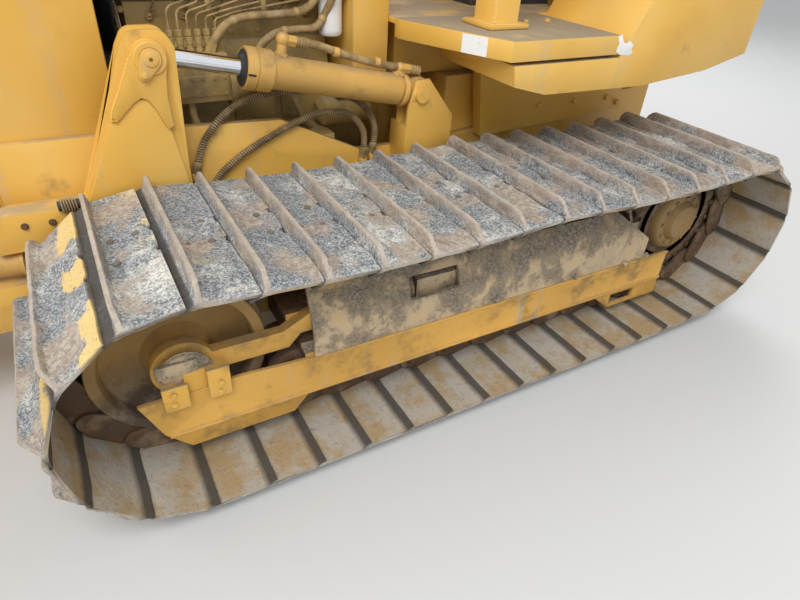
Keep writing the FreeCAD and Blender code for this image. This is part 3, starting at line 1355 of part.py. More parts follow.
heights = [number(blade.sheet_z) + (number(blade.top_z) - number(blade.sheet_z)) * step / 8
           for step in range(9)]
face_line = [(curve_x(height), height) for height in heights]
back_line = [(curve_x(height) - blade.sheet, height) for height in reversed(heights)]
blade_parts = [profile("BladeSheet", "Y", face_line + back_line, -blade.half, blade.half)]
blade_parts.append(profile("TopBeam", "Y", [
    (curve_x(980) - 14, 980), (curve_x(980) - 120, 940), (curve_x(900) - 60, 800),
    (curve_x(800) - 14, 800)], -blade.half, blade.half))
blade_parts.append(profile("LowBeam", "Y", [
    (sheet_foot - 14, 152), (1880, 152), (blade.beam_x, 200), (blade.beam_x, 330),
    (curve_x(410) - 14, 410)], -blade.half, blade.half))
for side, sign in SIDES:
    word = side.capitalize()
    low, high = sorted((sign * (blade.half - 20), sign * blade.half), key=number)
    blade_parts.append(profile(word + "EndPlate", "Y", [
        (sheet_foot, 60), (sheet_foot, 150), (curve_x(540) + 20, 540),
        (top_x, 980), (curve_x(980) - 120, 940), (blade.beam_x, 330), (blade.beam_x, 200),
        (1880, 100)], low, high))
for count, y in enumerate((-1040, -640, -250, 250, 640, 1040)):
    blade_parts.append(profile("BladeRib%d" % count, "Y", [
        (curve_x(820) - 10, 820), (curve_x(900) - 90, 880), (blade.beam_x + 4, 320),
        (1900, 320), (curve_x(500) - 10, 500)], y - 10, y + 10))
blade_parts.append(box("TrunnionPlate", (blade.back_x - 76, blade.back_x - 10), (-170, 170),
                       (250, 620)))
blade_parts.append(box("TrunnionBox", (blade.back_x - 12, 1930), (-190, 190), (240, 600)))
for count, low in enumerate((yoke.tilt_x - 44, yoke.tilt_x + 24)):
    blade_parts.append(box("TiltEar%d" % count, (low, low + 20),
                           (yoke.blade_y - 50, yoke.blade_y + 30), (860, 950)))
blade_parts.append(box("TiltArm", (yoke.tilt_x - 44, 1960), (yoke.blade_y - 80, yoke.blade_y - 49),
                       (850, 950)))
trunnion_bore = cylinder("TrunnionBore", X, yoke.trunnion + pivot.clear, 200,
                         blade.back_x - 100, 0, arm.ball_z)
node("blade", cut("Blade", fuse("BladeBody", *blade_parts), trunnion_bore))
edge = profile("Edge", "Y", [
    (sheet_foot + 0.3, 200), (sheet_foot + 0.3, blade.bottom_z), (blade.front_x, blade.bottom_z),
    (blade.front_x - 2, 40), (blade.front_x - 4, 200)], -blade.half - 20, blade.half + 20)
node("cutting_edge", edge)


# Cylinders: lift, angle and tilt

LIFT_SIZES = {
    "barrel": 52,  # barrel radius
    "gland": 60,  # gland radius
    "rod": 25,  # rod radius
    "barrel_end": 632,  # gland face from the rear pin
    "gland_length": 84,  # gland length
    "tilt_barrel": 44,  # tilt barrel radius
    "tilt_rod": 20,  # tilt rod radius
    "tilt_end": 400,  # tilt gland face from its pin
}
lift = table("lift", LIFT_SIZES)


def cylinder_pair(names, start, end, pin_axis, sizes, closed):
    """A hydraulic cylinder from its rear pin to its rod's eye, in two nodes.

    sizes are the barrel, gland and rod radii, the eye's radius and width, the pin's radius,
    the gland face's place and the rod eye's hole.
    """
    barrel_r, gland_r, rod_r, eye_r, eye_w, pin_r, face, hole = [number(value) for value in sizes]
    start, end = FreeCAD.Vector(*start), FreeCAD.Vector(*end)
    heading = end - start
    reach = heading.Length
    heading.normalize()
    half_eye = pin_axis * (eye_w / 2)
    bore_out = start - pin_axis * 200
    gland = number(lift.gland_length)
    tube_start = eye_r + 28
    tube = Part.makeCylinder(barrel_r, face - gland / 2 - tube_start,
                             start + heading * tube_start, heading)
    tube_neck = Part.makeCylinder(gland_r, gland, start + heading * (face - gland), heading)
    shank = Part.makeBox(eye_r + 30, eye_w - 4, eye_w - 4)
    shank.translate(FreeCAD.Vector(0, -(eye_w - 4) / 2, -(eye_w - 4) / 2))
    turn = FreeCAD.Rotation(heading, pin_axis.cross(heading), pin_axis, "XZY")
    shank.Placement = FreeCAD.Placement(start, turn).multiply(shank.Placement)
    head = Part.makeCylinder(eye_r, eye_w, start - half_eye, pin_axis)
    bore = Part.makeCylinder(rod_r + 0.6, face + 100, start + heading * (eye_r + 40), heading)
    pin_bore = Part.makeCylinder(pin_r + 0.6, 400, bore_out, pin_axis)
    barrel = tube.fuse([tube_neck, head, shank]).cut(bore).cut(pin_bore).removeSplitter()
    stem = Part.makeCylinder(rod_r, reach - face + closed, end - heading * (reach - face + closed),
                             heading)
    rod_eye = Part.makeCylinder(eye_r - 2, eye_w, end - half_eye, pin_axis)
    rod_hole = Part.makeCylinder(number(hole), 400, end - pin_axis * 200, pin_axis)
    rod = stem.fuse(rod_eye).cut(rod_hole).removeSplitter()
    node(names[0], plain(names[0].title().replace("_", ""), barrel))
    node(names[1], plain(names[1].title().replace("_", ""), rod))


for side, sign in SIDES:
    cylinder_pair(
        (side + "_lift_barrel", side + "_lift_rod"),
        (number(pivot.lift_x), sign * number(pivot.lift_y), number(pivot.lift_z)),
        (number(pivot.tower_x), sign * number(pivot.lift_y), number(pivot.tower_z)), Y,
        (lift.barrel, lift.gland, lift.rod, pivot.eye_radius, pivot.eye, pivot.lift_pin,
         lift.barrel_end, 24), 200)
    cylinder_pair(
        (side + "_angle_barrel", side + "_angle_rod"),
        (number(angle.x), sign * number(angle.y), number(angle.z)),
        (number(angle.yoke_x), sign * number(angle.yoke_y), number(angle.z)), Z,
        (angle.barrel, angle.barrel + 5, angle.rod, angle.eye, angle.eye_high, angle.pin,
         angle.barrel_end, 18), 230)
cylinder_pair(
    ("tilt_barrel", "tilt_rod"),
    (number(yoke.tilt_x), number(yoke.tilt_y), number(yoke.tilt_z)),
    (number(yoke.tilt_x), number(yoke.blade_y), number(yoke.tilt_z)), X,
    (lift.tilt_barrel, lift.tilt_barrel + 6, lift.tilt_rod, angle.eye, angle.eye_high, 20,
     lift.tilt_end, 20), 150)


def finish():
    """Work everything out, check each piece, and write one file for each sub-part."""
    doc.recompute()
    for item in doc.Objects:
        if "Invalid" in item.State or "Error" in item.State:
            raise RuntimeError("%s failed: %s" % (item.Name, item.State))
    for item in nodes:
        if item.Shape.isNull() or not item.Shape.isValid():
            raise RuntimeError("%s has no valid shape" % item.Label)
    os.makedirs("parts", exist_ok=True)
    for item in nodes:
        item.Shape.exportStep("parts/%s.step" % item.Label)
    print("%d sub-parts written" % len(nodes))


finish()
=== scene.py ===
import json
import math

import bmesh
import bpy
import numpy as np
from mathutils import Matrix, Vector

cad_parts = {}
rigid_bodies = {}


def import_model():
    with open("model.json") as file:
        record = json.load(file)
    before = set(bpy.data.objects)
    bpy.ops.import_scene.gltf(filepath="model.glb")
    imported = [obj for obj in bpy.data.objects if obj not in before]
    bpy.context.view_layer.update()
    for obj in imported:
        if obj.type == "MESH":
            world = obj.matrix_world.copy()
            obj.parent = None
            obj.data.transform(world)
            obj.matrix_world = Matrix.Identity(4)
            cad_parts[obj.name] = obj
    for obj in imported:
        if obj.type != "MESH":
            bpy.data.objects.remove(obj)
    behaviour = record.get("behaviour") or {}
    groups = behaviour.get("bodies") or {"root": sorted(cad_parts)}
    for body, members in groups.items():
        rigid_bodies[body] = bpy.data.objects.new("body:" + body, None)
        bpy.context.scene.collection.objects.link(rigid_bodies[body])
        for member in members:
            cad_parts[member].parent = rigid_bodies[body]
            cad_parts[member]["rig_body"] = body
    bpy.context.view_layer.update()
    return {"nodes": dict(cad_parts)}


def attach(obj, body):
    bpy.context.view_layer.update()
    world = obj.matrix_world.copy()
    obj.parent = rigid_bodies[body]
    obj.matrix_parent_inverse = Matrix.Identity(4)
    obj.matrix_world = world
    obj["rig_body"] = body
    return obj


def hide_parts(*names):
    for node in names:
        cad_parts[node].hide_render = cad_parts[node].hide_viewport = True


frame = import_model()

# A crawler bulldozer that has worked in clay: bright paint above, dried mud and rust on the tracks.
# Metres throughout. +X is forward, +Y the machine's left, +Z up.

sides = {"left": 1, "right": -1}


# An operator for sockets, with the socket as its second value in the reflected form
def operator(operation, reflected=False):
    if reflected:
        return lambda self, other: self.maths(operation, other, self)
    return lambda self, other: self.maths(operation, self, other)


# Shader maths: a socket that adds its own Math nodes
class Wire:
    __add__, __radd__ = operator("ADD"), operator("ADD", True)
    __sub__, __rsub__ = operator("SUBTRACT"), operator("SUBTRACT", True)
    __mul__, __rmul__ = operator("MULTIPLY"), operator("MULTIPLY", True)

    def __init__(self, nodes, socket):
        self.nodes, self.socket = nodes, socket

    def maths(self, operation, first, second, clamp=False):
        settings = {"operation": operation, "use_clamp": clamp}
        return self.nodes.add("ShaderNodeMath", settings, {0: first, 1: second})

    def clamped(self):
        return self.maths("ADD", self, 0.0, True)

    # 0 below low, 1 above high, smooth between
    def between(self, low, high):
        values = {"Value": self, "From Min": low, "From Max": high}
        return self.nodes.add("ShaderNodeMapRange", {"interpolation_type": "SMOOTHSTEP"}, values)


# A node tree, with one method for any node: its type, its settings, then its sockets' values
class Nodes:
    def __init__(self, owner):
        owner.use_nodes = True
        self.tree = owner.node_tree
        self.tree.nodes.clear()

    def add(self, kind, settings=None, inputs=None, out=0):
        made = self.tree.nodes.new(kind)
        for key, value in (settings or {}).items():
            setattr(made, key, value)
        for key, value in (inputs or {}).items():
            if isinstance(value, Wire):
                self.tree.links.new(value.socket, made.inputs[key])
            else:
                made.inputs[key].default_value = value
        return Wire(self, made.outputs[out]) if out is not None else None


class Finish(Nodes):
    def __init__(self, name):
        self.material = bpy.data.materials.new(name)
        super().__init__(self.material)
        self.place = self.add("ShaderNodeTexCoord", out="Object")

    # Fractal noise, 0 to 1, with stretch as its size along X, Y and Z
    def noise(self, scale, detail=4, rough=0.55, stretch=(1, 1, 1), shift=0.0):
        moved = self.add("ShaderNodeMapping", None, {
            "Vector": self.place, "Location": (shift, shift, shift), "Scale": stretch})
        return self.add("ShaderNodeTexNoise", None, {
            "Vector": moved, "Scale": scale, "Detail": detail, "Roughness": rough})

    # Even stripes across Y
    def stripes(self, scale, distortion=0.0):
        return self.add("ShaderNodeTexWave", {"bands_direction": "Y"}, {
            "Vector": self.place, "Scale": scale, "Distortion": distortion}, "Fac")

    def height(self):
        return self.add("ShaderNodeSeparateXYZ", None, {0: self.place}, "Z")

    # How much a face looks up
    def level(self, low, high):
        normal = self.add("ShaderNodeNewGeometry", out="Normal")
        return self.add("ShaderNodeSeparateXYZ", None, {0: normal}, "Z").between(low, high)

    # A number that the mesh carries, such as how near an edge is
    def carried(self, name):
        return self.add("ShaderNodeAttribute", {"attribute_name": name}, None, "Fac")

    # A colour under coats, each given as its share of the surface and its colour
    def coats(self, colour, *coats):
        for share, coat in coats:
            first, second = (value if isinstance(value, Wire) else (*value, 1)
                             for value in (colour, coat))
            colour = self.add("ShaderNodeMix", {"data_type": "RGBA", "clamp_factor": True},
                              {0: share, 6: first, 7: second}, 2)
        return colour

    def close(self, colour, roughness, metallic=0.0, height=None, depth=0.002, coat=0.0):
        values = {"Base Color": colour, "Roughness": roughness, "Metallic": metallic,
                  "Coat Weight": coat}
        if height is not None:
            values["Normal"] = self.add("ShaderNodeBump", None, {
                "Height": height, "Distance": depth, "Strength": 1.0})
        shader = self.add("ShaderNodeBsdfPrincipled", None, values)
        self.add("ShaderNodeOutputMaterial", None, {"Surface": shader}, None)
        return self.material


# View, light and floor

view = {
    "place": (0.697, 2.2725, 1.477),
    "yaw": -121.65,  # heading of the line of sight from +X, degrees
    "pitch": -34.86,
    "roll": 3.92,
    "lens": 25.88,  # on a 36 mm wide frame
    "floor": (0.62, 0.62, 0.61),
    "light": 0.62,  # the world's share of the light on the object
    "shown": 0.92,  # its strength where it is seen or reflected
    "lamps": {  # place, where it looks, width and watts
        "key": ((2.5, 5.0, 7.0), (-0.3, 0.4, 0.6), 5.0, 520),
        "back": ((-5.0, -4.5, 6.0), (-0.3, 0, 1.0), 5.0, 300),
        "front": ((7.0, -1.5, 4.0), (1.0, 0, 0.8), 4.0, 220),
    },
}


def show(name, data):
    holder = bpy.data.objects.new(name, data)
    bpy.context.scene.collection.objects.link(holder)
    return holder


def addView():
    yaw, pitch, roll = (math.radians(view[key]) for key in ("yaw", "pitch", "roll"))
    sight = Vector((math.cos(pitch) * math.cos(yaw), math.cos(pitch) * math.sin(yaw),
                    math.sin(pitch)))
    right = sight.cross(Vector((0, 0, 1))).normalized()
    up = right.cross(sight)
    camera = bpy.data.cameras.new("photoView")
    camera.lens, camera.sensor_width = view["lens"], 36
    turn = Matrix((math.cos(roll) * right + math.sin(roll) * up,
                   math.cos(roll) * up - math.sin(roll) * right, -sight)).transposed().to_4x4()
    bpy.context.scene.camera = show("photoView", camera)
    bpy.context.scene.camera.matrix_world = Matrix.Translation(Vector(view["place"])) @ turn


def addLamps():
    for name, (place, target, width, power) in view["lamps"].items():
        lamp = bpy.data.lights.new(name, "AREA")
        lamp.size, lamp.energy = width, power
        holder = show(name, lamp)
        holder.location = place
        heading = Vector(target) - Vector(place)
        holder.rotation_euler = heading.to_track_quat("-Z", "Y").to_euler()


# The world lights the object at a plain level and shows white where it is seen or reflected
def addWorld():
    world = bpy.data.worlds.new("studio")
    nodes = Nodes(world)
    seen, glossy, through = (nodes.add("ShaderNodeLightPath", out="Is " + kind + " Ray")
                             for kind in ("Camera", "Glossy", "Transmission"))
    seen = seen.maths("MAXIMUM", seen, glossy.maths("MAXIMUM", glossy, through))
    strength = nodes.add("ShaderNodeMapRange", None, {
        "Value": seen, "To Min": view["light"], "To Max": view["shown"]})
    glow = nodes.add("ShaderNodeBackground", None, {
        "Color": (0.95, 0.975, 1.0, 1), "Strength": strength})
    nodes.add("ShaderNodeOutputWorld", None, {"Surface": glow}, None)
    bpy.context.scene.world = world


def addFloor():
    turn = np.linspace(0, 2 * math.pi, 96, endpoint=False)
    ring = np.stack([30 * np.cos(turn), 30 * np.sin(turn), 0 * turn - 0.0005], 1)
    mesh = bpy.data.meshes.new("floor")
    mesh.from_pydata(ring.tolist(), [], [tuple(range(96))])
    ground = show("studioFloor", mesh)
    finish = Finish("studio_floor")
    colour = finish.coats(view["floor"], (finish.noise(3.0, 3) * 0.2, (0.6, 0.6, 0.6)))
    mesh.materials.append(finish.close(colour, 0.9))


bpy.context.scene.view_settings.view_transform = "Standard"
addView()
addWorld()
addLamps()
addFloor()
print("view and light set")


# Finishes

paintLook = {
    "yellow": (0.72, 0.405, 0.065),
    "faded": (0.78, 0.48, 0.115),
    "deep": (0.5, 0.27, 0.045),
    "grime": (0.11, 0.08, 0.05),
    "dust": (0.29, 0.235, 0.16),
    "runs": (0.44, 0.395, 0.33),
    "primer": (0.3, 0.25, 0.18),
    "steel": (0.16, 0.14, 0.12),
    "gloss": 0.38,
}


def shaded(colour, share):
    return tuple(share * part for part in colour)


# Paint over steel: fading in slow patches, grime in fine flecks, pale runs down the sides,
# dust on what faces up and bare metal along the worn edges
def makePaint(name, base=None, grime=0.3, dust=0.4, runs=0.2, wear=0.6, shine=None):
    look, finish = paintLook, Finish(name)
    slow, fine = finish.noise(2.3, 3, 0.5), finish.noise(34, 6, 0.65)
    speck = finish.noise(150, 4, 0.7)
    down = finish.noise(9, 4, 0.6, (1, 1, 0.07)).between(0.56, 0.72)
    patch = finish.noise(6.5, 5, 0.62, shift=3)
    dirty = patch.between(0.66 - 0.3 * grime, 0.86 - 0.3 * grime) * (0.45 + 0.55 * fine)
    flecks = speck.between(0.63, 0.7) * finish.noise(3.5, 3, 0.6, shift=11).between(0.46, 0.62)
    settled = finish.level(0.55, 0.95) * finish.noise(7, 5, 0.6, shift=5).between(
        0.62 - 0.5 * dust, 0.85 - 0.3 * dust)
    chipped = (finish.carried("edge") * 1.3 + finish.noise(60, 4, 0.7, shift=2) - 1.0).between(
        0.22, 0.42) * wear
    colour = finish.coats(
        base or look["yellow"],
        (slow.between(0.35, 0.7), shaded(base, 1.25) if base else look["faded"]),
        (finish.noise(5.5, 4, 0.6, shift=7).between(0.62, 0.8) * 0.35,
         shaded(base, 0.6) if base else look["deep"]),
        ((down * fine.between(0.3, 0.6) * runs).clamped(), look["runs"]),
        ((dirty + flecks * grime).clamped() * 0.8, look["grime"]),
        (settled * dust, look["dust"]),
        (chipped, finish.coats(look["primer"], (speck.between(0.45, 0.6), look["steel"]))))
    rough = (shine or look["gloss"]) + 0.28 * dirty + 0.35 * settled * dust + 0.1 * slow
    height = fine * 0.1 + slow * 0.6 - chipped * 0.35 + dirty * 0.25
    return finish.close(colour, rough.clamped(), 0.0, height, 0.0012)


cakeLook = {
    "slate": (0.125, 0.142, 0.155),
    "blue": (0.4, 0.415, 0.425),
    "white": (0.68, 0.68, 0.64),
    "tan": (0.37, 0.325, 0.265),
    "dark": (0.06, 0.052, 0.045),
    "brown": (0.3, 0.215, 0.155),
    "earth": (0.5, 0.44, 0.355),
    "bar": (0.25, 0.185, 0.135),
    "barDust": (0.5, 0.41, 0.325),
    "pit": (0.1, 0.085, 0.075),
    "crest": (0.52, 0.455, 0.38),
    "paint": (0.74, 0.53, 0.2),
    "inside": (0.4, 0.285, 0.15),
    "clay": (0.44, 0.4, 0.34),
    "stain": (0.15, 0.105, 0.065),
    # painted shade: near black for the faces in the gap between two shoes
    "seam_shade": (0.045, 0.038, 0.032),
}


# Dried mud on a shoe. The mesh carries outer, 1 on the ground side; paint, where it wore
# through; grouser, the browner faces of the bar; and seam, the faces in the gap between two
# shoes, which are painted near black as shade
def makeCake(name):
    look, finish = cakeLook, Finish(name)
    salt, grit = finish.noise(150, 3, 0.8), finish.noise(62, 5, 0.75, shift=4)
    patch, broad = finish.noise(9, 6, 0.66, (1, 0.8, 1), 2), finish.noise(3.4, 4, 0.6, shift=9)
    grain, specks = salt * 0.75 + grit * 0.25, finish.noise(230, 2, 0.7, shift=1)
    cold = finish.coats(look["slate"], (grain.between(0.46, 0.56), look["blue"]))
    pale = finish.coats(look["tan"], (grain.between(0.42, 0.53), look["white"]))
    earth = finish.noise(5.5, 5, 0.65, shift=6) + 0.25 * (salt - 0.5)
    bar = finish.coats(
        look["bar"],
        (finish.noise(30, 5, 0.75, (1, 0.4, 1), 8).between(0.38, 0.62), look["barDust"]),
        (specks.between(0.56, 0.66) * 0.6, look["pit"]))
    bare = (finish.carried("paint") + 0.5 * (patch + salt) - 0.5).between(0.45, 0.6)
    mud = finish.coats(
        cold, ((patch + 0.5 * broad + 0.5 * (grit - 0.5)).between(0.7, 1.0), pale),
        (earth.between(0.5, 0.6) * 0.85,
         finish.coats(look["earth"], (grit.between(0.4, 0.6), look["brown"]))),
        (specks.between(0.6, 0.68) * 0.65, look["dark"]),
        ((1 - specks.between(0.3, 0.37)) * 0.5, look["white"]),
        (finish.noise(14, 5, 0.7, (1, 0.35, 1), 12).between(0.62, 0.74) * 0.45, look["brown"]),
        (finish.carried("grouser") * (0.55 + 0.45 * grit), bar),
        ((finish.carried("edge") * (0.35 + 0.7 * grit)).clamped() * 0.75, look["crest"]),
        (bare * (1 - 0.6 * specks.between(0.52, 0.62)), look["paint"]))
    colour = finish.coats(
        look["inside"], ((patch + 0.3 * broad).between(0.54, 0.76), look["clay"]),
        (grit.between(0.54, 0.68) * 0.5, look["stain"]),
        (salt.between(0.58, 0.68) * 0.35, look["slate"]),
        (finish.carried("outer").between(0.3, 0.7), mud),
        # painted shade: the faces in the gap between two shoes go near black
        (finish.carried("seam_shade") * 0.9, look["seam_shade"]))
    height = patch * 1.0 + grit * 0.7 + salt * 0.25
    return finish.close(colour, 0.93 - 0.15 * bare, 0.0, height, 0.005)


# Yellow-brown wheel paint under a coat of mud that thickens towards the ground
def makeMuddy(name):
    finish = Finish(name)
    patch, grain = finish.noise(9, 6, 0.62), finish.noise(120, 5, 0.72, shift=3)
    low = 1 - (finish.height() + 0.22 * patch).between(0.33, 0.56)
    mud = finish.coats((0.115, 0.085, 0.06), (patch.between(0.4, 0.62), (0.3, 0.25, 0.195)),
                       (grain.between(0.55, 0.68) * 0.5, (0.055, 0.042, 0.032)))
    cover = (low + (patch * 0.6 + grain * 0.4).between(0.52, 0.62) * 0.2).clamped()
    colour = finish.coats(
        (0.5, 0.3, 0.085),
        (finish.noise(3.5, 3, 0.5, shift=5).between(0.4, 0.7), (0.36, 0.215, 0.07)),
        (cover, mud), (finish.carried("edge") * 0.5, (0.2, 0.17, 0.14)))
    return finish.close(colour, 0.62 + 0.3 * cover, 0.0, patch * cover + grain * 0.4, 0.004)


# Yellow paint nearly covered by dry brown dirt, with stones' grain in it
def makeCaked(name):
    finish = Finish(name)
    patch, broad = finish.noise(11, 6, 0.68, (1, 1, 0.8)), finish.noise(3.2, 4, 0.6, shift=4)
    grain, stone = finish.noise(130, 4, 0.75, shift=3), finish.noise(55, 5, 0.72, shift=8)
    paint = finish.coats((0.6, 0.39, 0.14), (broad.between(0.4, 0.65), (0.5, 0.345, 0.17)))
    dirt = finish.coats((0.15, 0.12, 0.095),
                        ((grain * 0.6 + stone * 0.4).between(0.4, 0.6), (0.46, 0.395, 0.31)),
                        (stone.between(0.6, 0.7) * 0.8, (0.45, 0.42, 0.37)))
    film = finish.coats((0.56, 0.42, 0.255), (patch.between(0.35, 0.65), (0.42, 0.325, 0.215)))
    cover = (patch + 0.55 * broad + 0.28 * finish.level(0.25, 0.8)
             + 0.5 * (stone - 0.5)).between(0.72, 1.02)
    edge = finish.carried("edge") * grain.between(0.35, 0.6)
    colour = finish.coats(paint, ((patch + 0.5 * broad).between(0.5, 0.64), film), (cover, dirt),
                          (edge * 0.8, (0.4, 0.34, 0.25)))
    height = cover * (0.5 + 0.5 * grain + 0.6 * stone) + 0.2 * patch
    return finish.close(colour, 0.62 + 0.32 * cover, 0.0, height, 0.007)


# Rust, with pale dust in patches
def makeRust(name, base=(0.15, 0.085, 0.045), dusty=(0.34, 0.26, 0.18), amount=0.6):
    finish = Finish(name)
    patch, grain = finish.noise(16, 5, 0.65), finish.noise(160, 4, 0.7)
    edge = finish.carried("edge") * patch.between(0.4, 0.6) * 0.5
    colour = finish.coats(
        base, (patch.between(0.35, 0.65), shaded(base, 0.5)),
        (finish.noise(9, 5, 0.6, shift=4).between(0.5, 0.72) * amount, dusty),
        (grain.between(0.6, 0.7) * 0.5, (0.3, 0.14, 0.055)), (edge, (0.36, 0.3, 0.24)))
    return finish.close(colour, 0.85 - 0.2 * edge, 0.25, grain + patch * 0.8, 0.002)


# Hard chrome with faint rings of wear and a little dust
def makeChrome(name):
    finish = Finish(name)
    rings, smear = finish.noise(240, 3, 0.6, (1, 0.05, 0.05)), finish.noise(12, 4, 0.6)
    colour = finish.coats((0.8, 0.82, 0.84), (smear.between(0.5, 0.75) * 0.5, (0.52, 0.5, 0.46)))
    return finish.close(colour, 0.1 + 0.22 * smear.between(0.5, 0.8), 1.0, rings, 0.0002)


# Black or dark paint, plastic and rubber, greyed by dust
def makeDark(name, base=(0.03, 0.031, 0.034), dust=0.45, rough=0.55):
    finish = Finish(name)
    patch, grain = finish.noise(11, 5, 0.6), finish.noise(190, 3, 0.7)
    dusty = patch.between(0.4, 0.75)
    colour = finish.coats(base, (dusty * (finish.level(0.2, 0.95) * 0.7 + 0.3) * dust,
                                 (0.27, 0.24, 0.2)),
                          (finish.carried("edge") * 0.4, (0.19, 0.18, 0.17)))
    return finish.close(colour, rough + 0.25 * dusty * dust, 0.0, grain + patch * 0.5, 0.0008)


# Grained seat vinyl with rubbed, greyer crowns
def makeVinyl(name):
    finish = Finish(name)
    cells = finish.add("ShaderNodeTexVoronoi", {"feature": "DISTANCE_TO_EDGE"}, {
        "Vector": finish.place, "Scale": 420.0}, "Distance")
    patch = finish.noise(9, 4, 0.6)
    rubbed = patch.between(0.4, 0.8) * (0.2 + 0.4 * finish.level(0.4, 1.0))
    colour = finish.coats((0.028, 0.028, 0.03), (rubbed, (0.16, 0.145, 0.12)))
    return finish.close(colour, 0.48 + 0.25 * patch, 0.0, cells.between(0.0, 0.25), 0.0006)


# Blank white sign stock, scuffed at its edges
def makeBlank(name):
    finish = Finish(name)
    patch = finish.noise(45, 5, 0.7)
    colour = finish.coats((0.82, 0.82, 0.8), (patch.between(0.55, 0.75) * 0.5, (0.5, 0.47, 0.41)))
    return finish.close(colour, 0.5 + 0.2 * patch, 0.0, patch, 0.0004)


# Radiator core: fine upright fins crossed by tubes, with the near black between the fins
# painted as shade for the deep gaps between them
def makeCore(name):
    finish = Finish(name)
    fins, patch = finish.stripes(95.0, 0.4), finish.noise(9, 4, 0.6)
    dusty = finish.coats((0.085, 0.082, 0.078), (patch.between(0.4, 0.7), (0.24, 0.21, 0.17)))
    # painted shade: near black between the dusty fin stripes
    colour = finish.coats((0.02, 0.019, 0.018), (fins, dusty))
    return finish.close(colour, 0.7 + 0.1 * patch, 0.2, fins, 0.003)


# Lamp glass: pressed ribs over a bright reflector
def makeLens(name):
    finish = Finish(name)
    ribs, patch = finish.stripes(60.0), finish.noise(20, 4, 0.6)
    colour = finish.coats((0.78, 0.79, 0.8), (patch.between(0.5, 0.8) * 0.6, (0.42, 0.38, 0.31)))
    return finish.close(colour, 0.14 + 0.2 * patch, 0.3, ribs, 0.002, 0.6)


# Its colour, or the yellow; then how much grime, dust, runs and wear, and its roughness
paints = {name: makePaint("paint_" + name, *values) for name, values in {
    "clean": (None, 0.12, 0.35, 0.25, 0.5),
    "working": (None, 0.38, 0.75, 0.35, 0.7),
    "deck": (None, 0.25, 0.95, 0.15, 0.6),
    "step": ((0.42, 0.3, 0.13), 0.75, 1.0, 0.1, 0.9, 0.55),
    "low": (None, 0.62, 0.9, 0.6, 0.8, 0.55),
    "band": ((0.6, 0.335, 0.07), 0.6, 0.6, 2.4, 0.9, 0.5),
    "barrel": ((0.56, 0.33, 0.085), 0.4, 0.7, 0.3, 0.5, 0.45),
    "wheel": ((0.3, 0.185, 0.065), 0.5, 0.6, 0.2, 0.6, 0.5),
    "engine": ((0.36, 0.245, 0.085), 0.55, 0.6, 0.1, 0.4, 0.45),
}.items()}
caked = makeCaked("paint_guard")
cake = makeCake("dried_mud")
muddyWheel = makeMuddy("wheel_in_mud")
rust = makeRust("rusty_steel")
chainRust = makeRust("chain_steel", (0.17, 0.095, 0.05), (0.37, 0.265, 0.165), 0.8)
mudBolt = makeRust("bolt_in_mud", (0.2, 0.175, 0.145), (0.42, 0.385, 0.33), 0.8)
coilSteel = makeRust("hose_armour", (0.47, 0.335, 0.17), (0.56, 0.45, 0.3), 0.5)
hoseSkin = makeRust("hose_skin", (0.135, 0.095, 0.055), (0.3, 0.23, 0.15), 0.6)
tanHose = makeRust("tan_hose", (0.5, 0.345, 0.155), (0.46, 0.36, 0.24), 0.5)
fitting = makeRust("fitting_brass", (0.42, 0.29, 0.11), (0.4, 0.32, 0.22), 0.4)
soot = makeRust("stack_rust", (0.1, 0.055, 0.035))
chrome = makeChrome("hard_chrome")
black = makeDark("black_paint")
rubber = makeDark("hose_rubber", (0.022, 0.022, 0.023), 0.5, 0.75)
vinyl = makeVinyl("seat_vinyl")
blank = makeBlank("blank_white")
core = makeCore("radiator_core")
lens = makeLens("lamp_glass")
print("finishes made")


# Mesh tools: surfaces worked out as whole arrays

def unit(direction):
    direction = np.asarray(direction, float)
    return direction / np.linalg.norm(direction)


# Angles evenly spaced round a circle
def roundTurn(count):
    return np.linspace(0, 2 * math.pi, count, endpoint=False)


# One visible piece on the body of its CAD node, which it may also replace
def addPiece(name, mesh, node, finishes, smooth, replaces=True):
    for one in finishes:
        mesh.materials.append(one)
    mesh.shade_smooth()
    mesh.set_sharp_from_angle(angle=math.radians(smooth))
    piece = show(name, mesh)
    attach(piece, frame["nodes"][node]["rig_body"])
    if replaces:
        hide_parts(node)
    return piece


# A mesh of points and faces, with numbers that its points carry
def makeMesh(name, points, faces, carried):
    mesh = bpy.data.meshes.new(name)
    mesh.from_pydata(np.asarray(points, float).reshape(-1, 3).tolist(), [], faces)
    for key, values in carried.items():
        layer = mesh.attributes.new(key, "FLOAT", "POINT")
        layer.data.foreach_set("value", np.asarray(values, np.float32).ravel())
    return mesh


# Faces of a grid of rows by columns, joined round along the rows or along the columns
def gridFaces(rows, columns, closedRows=False, closedColumns=False, start=0):
    row, column = np.mgrid[:rows - (not closedRows), :columns - (not closedColumns)]
    nextRow, nextColumn = (row + 1) % rows * columns, (column + 1) % columns
    row = row * columns
    corners = np.stack([row + column, row + nextColumn, nextRow + nextColumn, nextRow + column], -1)
    return (corners.reshape(-1, 4) + start).tolist()


# Faces of rings joined into a tube, with both ends closed
def tubeFaces(rows, around):
    last = (rows - 1) * around
    return (gridFaces(rows, around, closedColumns=True)
            + [tuple(range(around - 1, -1, -1)), tuple(range(last, last + around))])


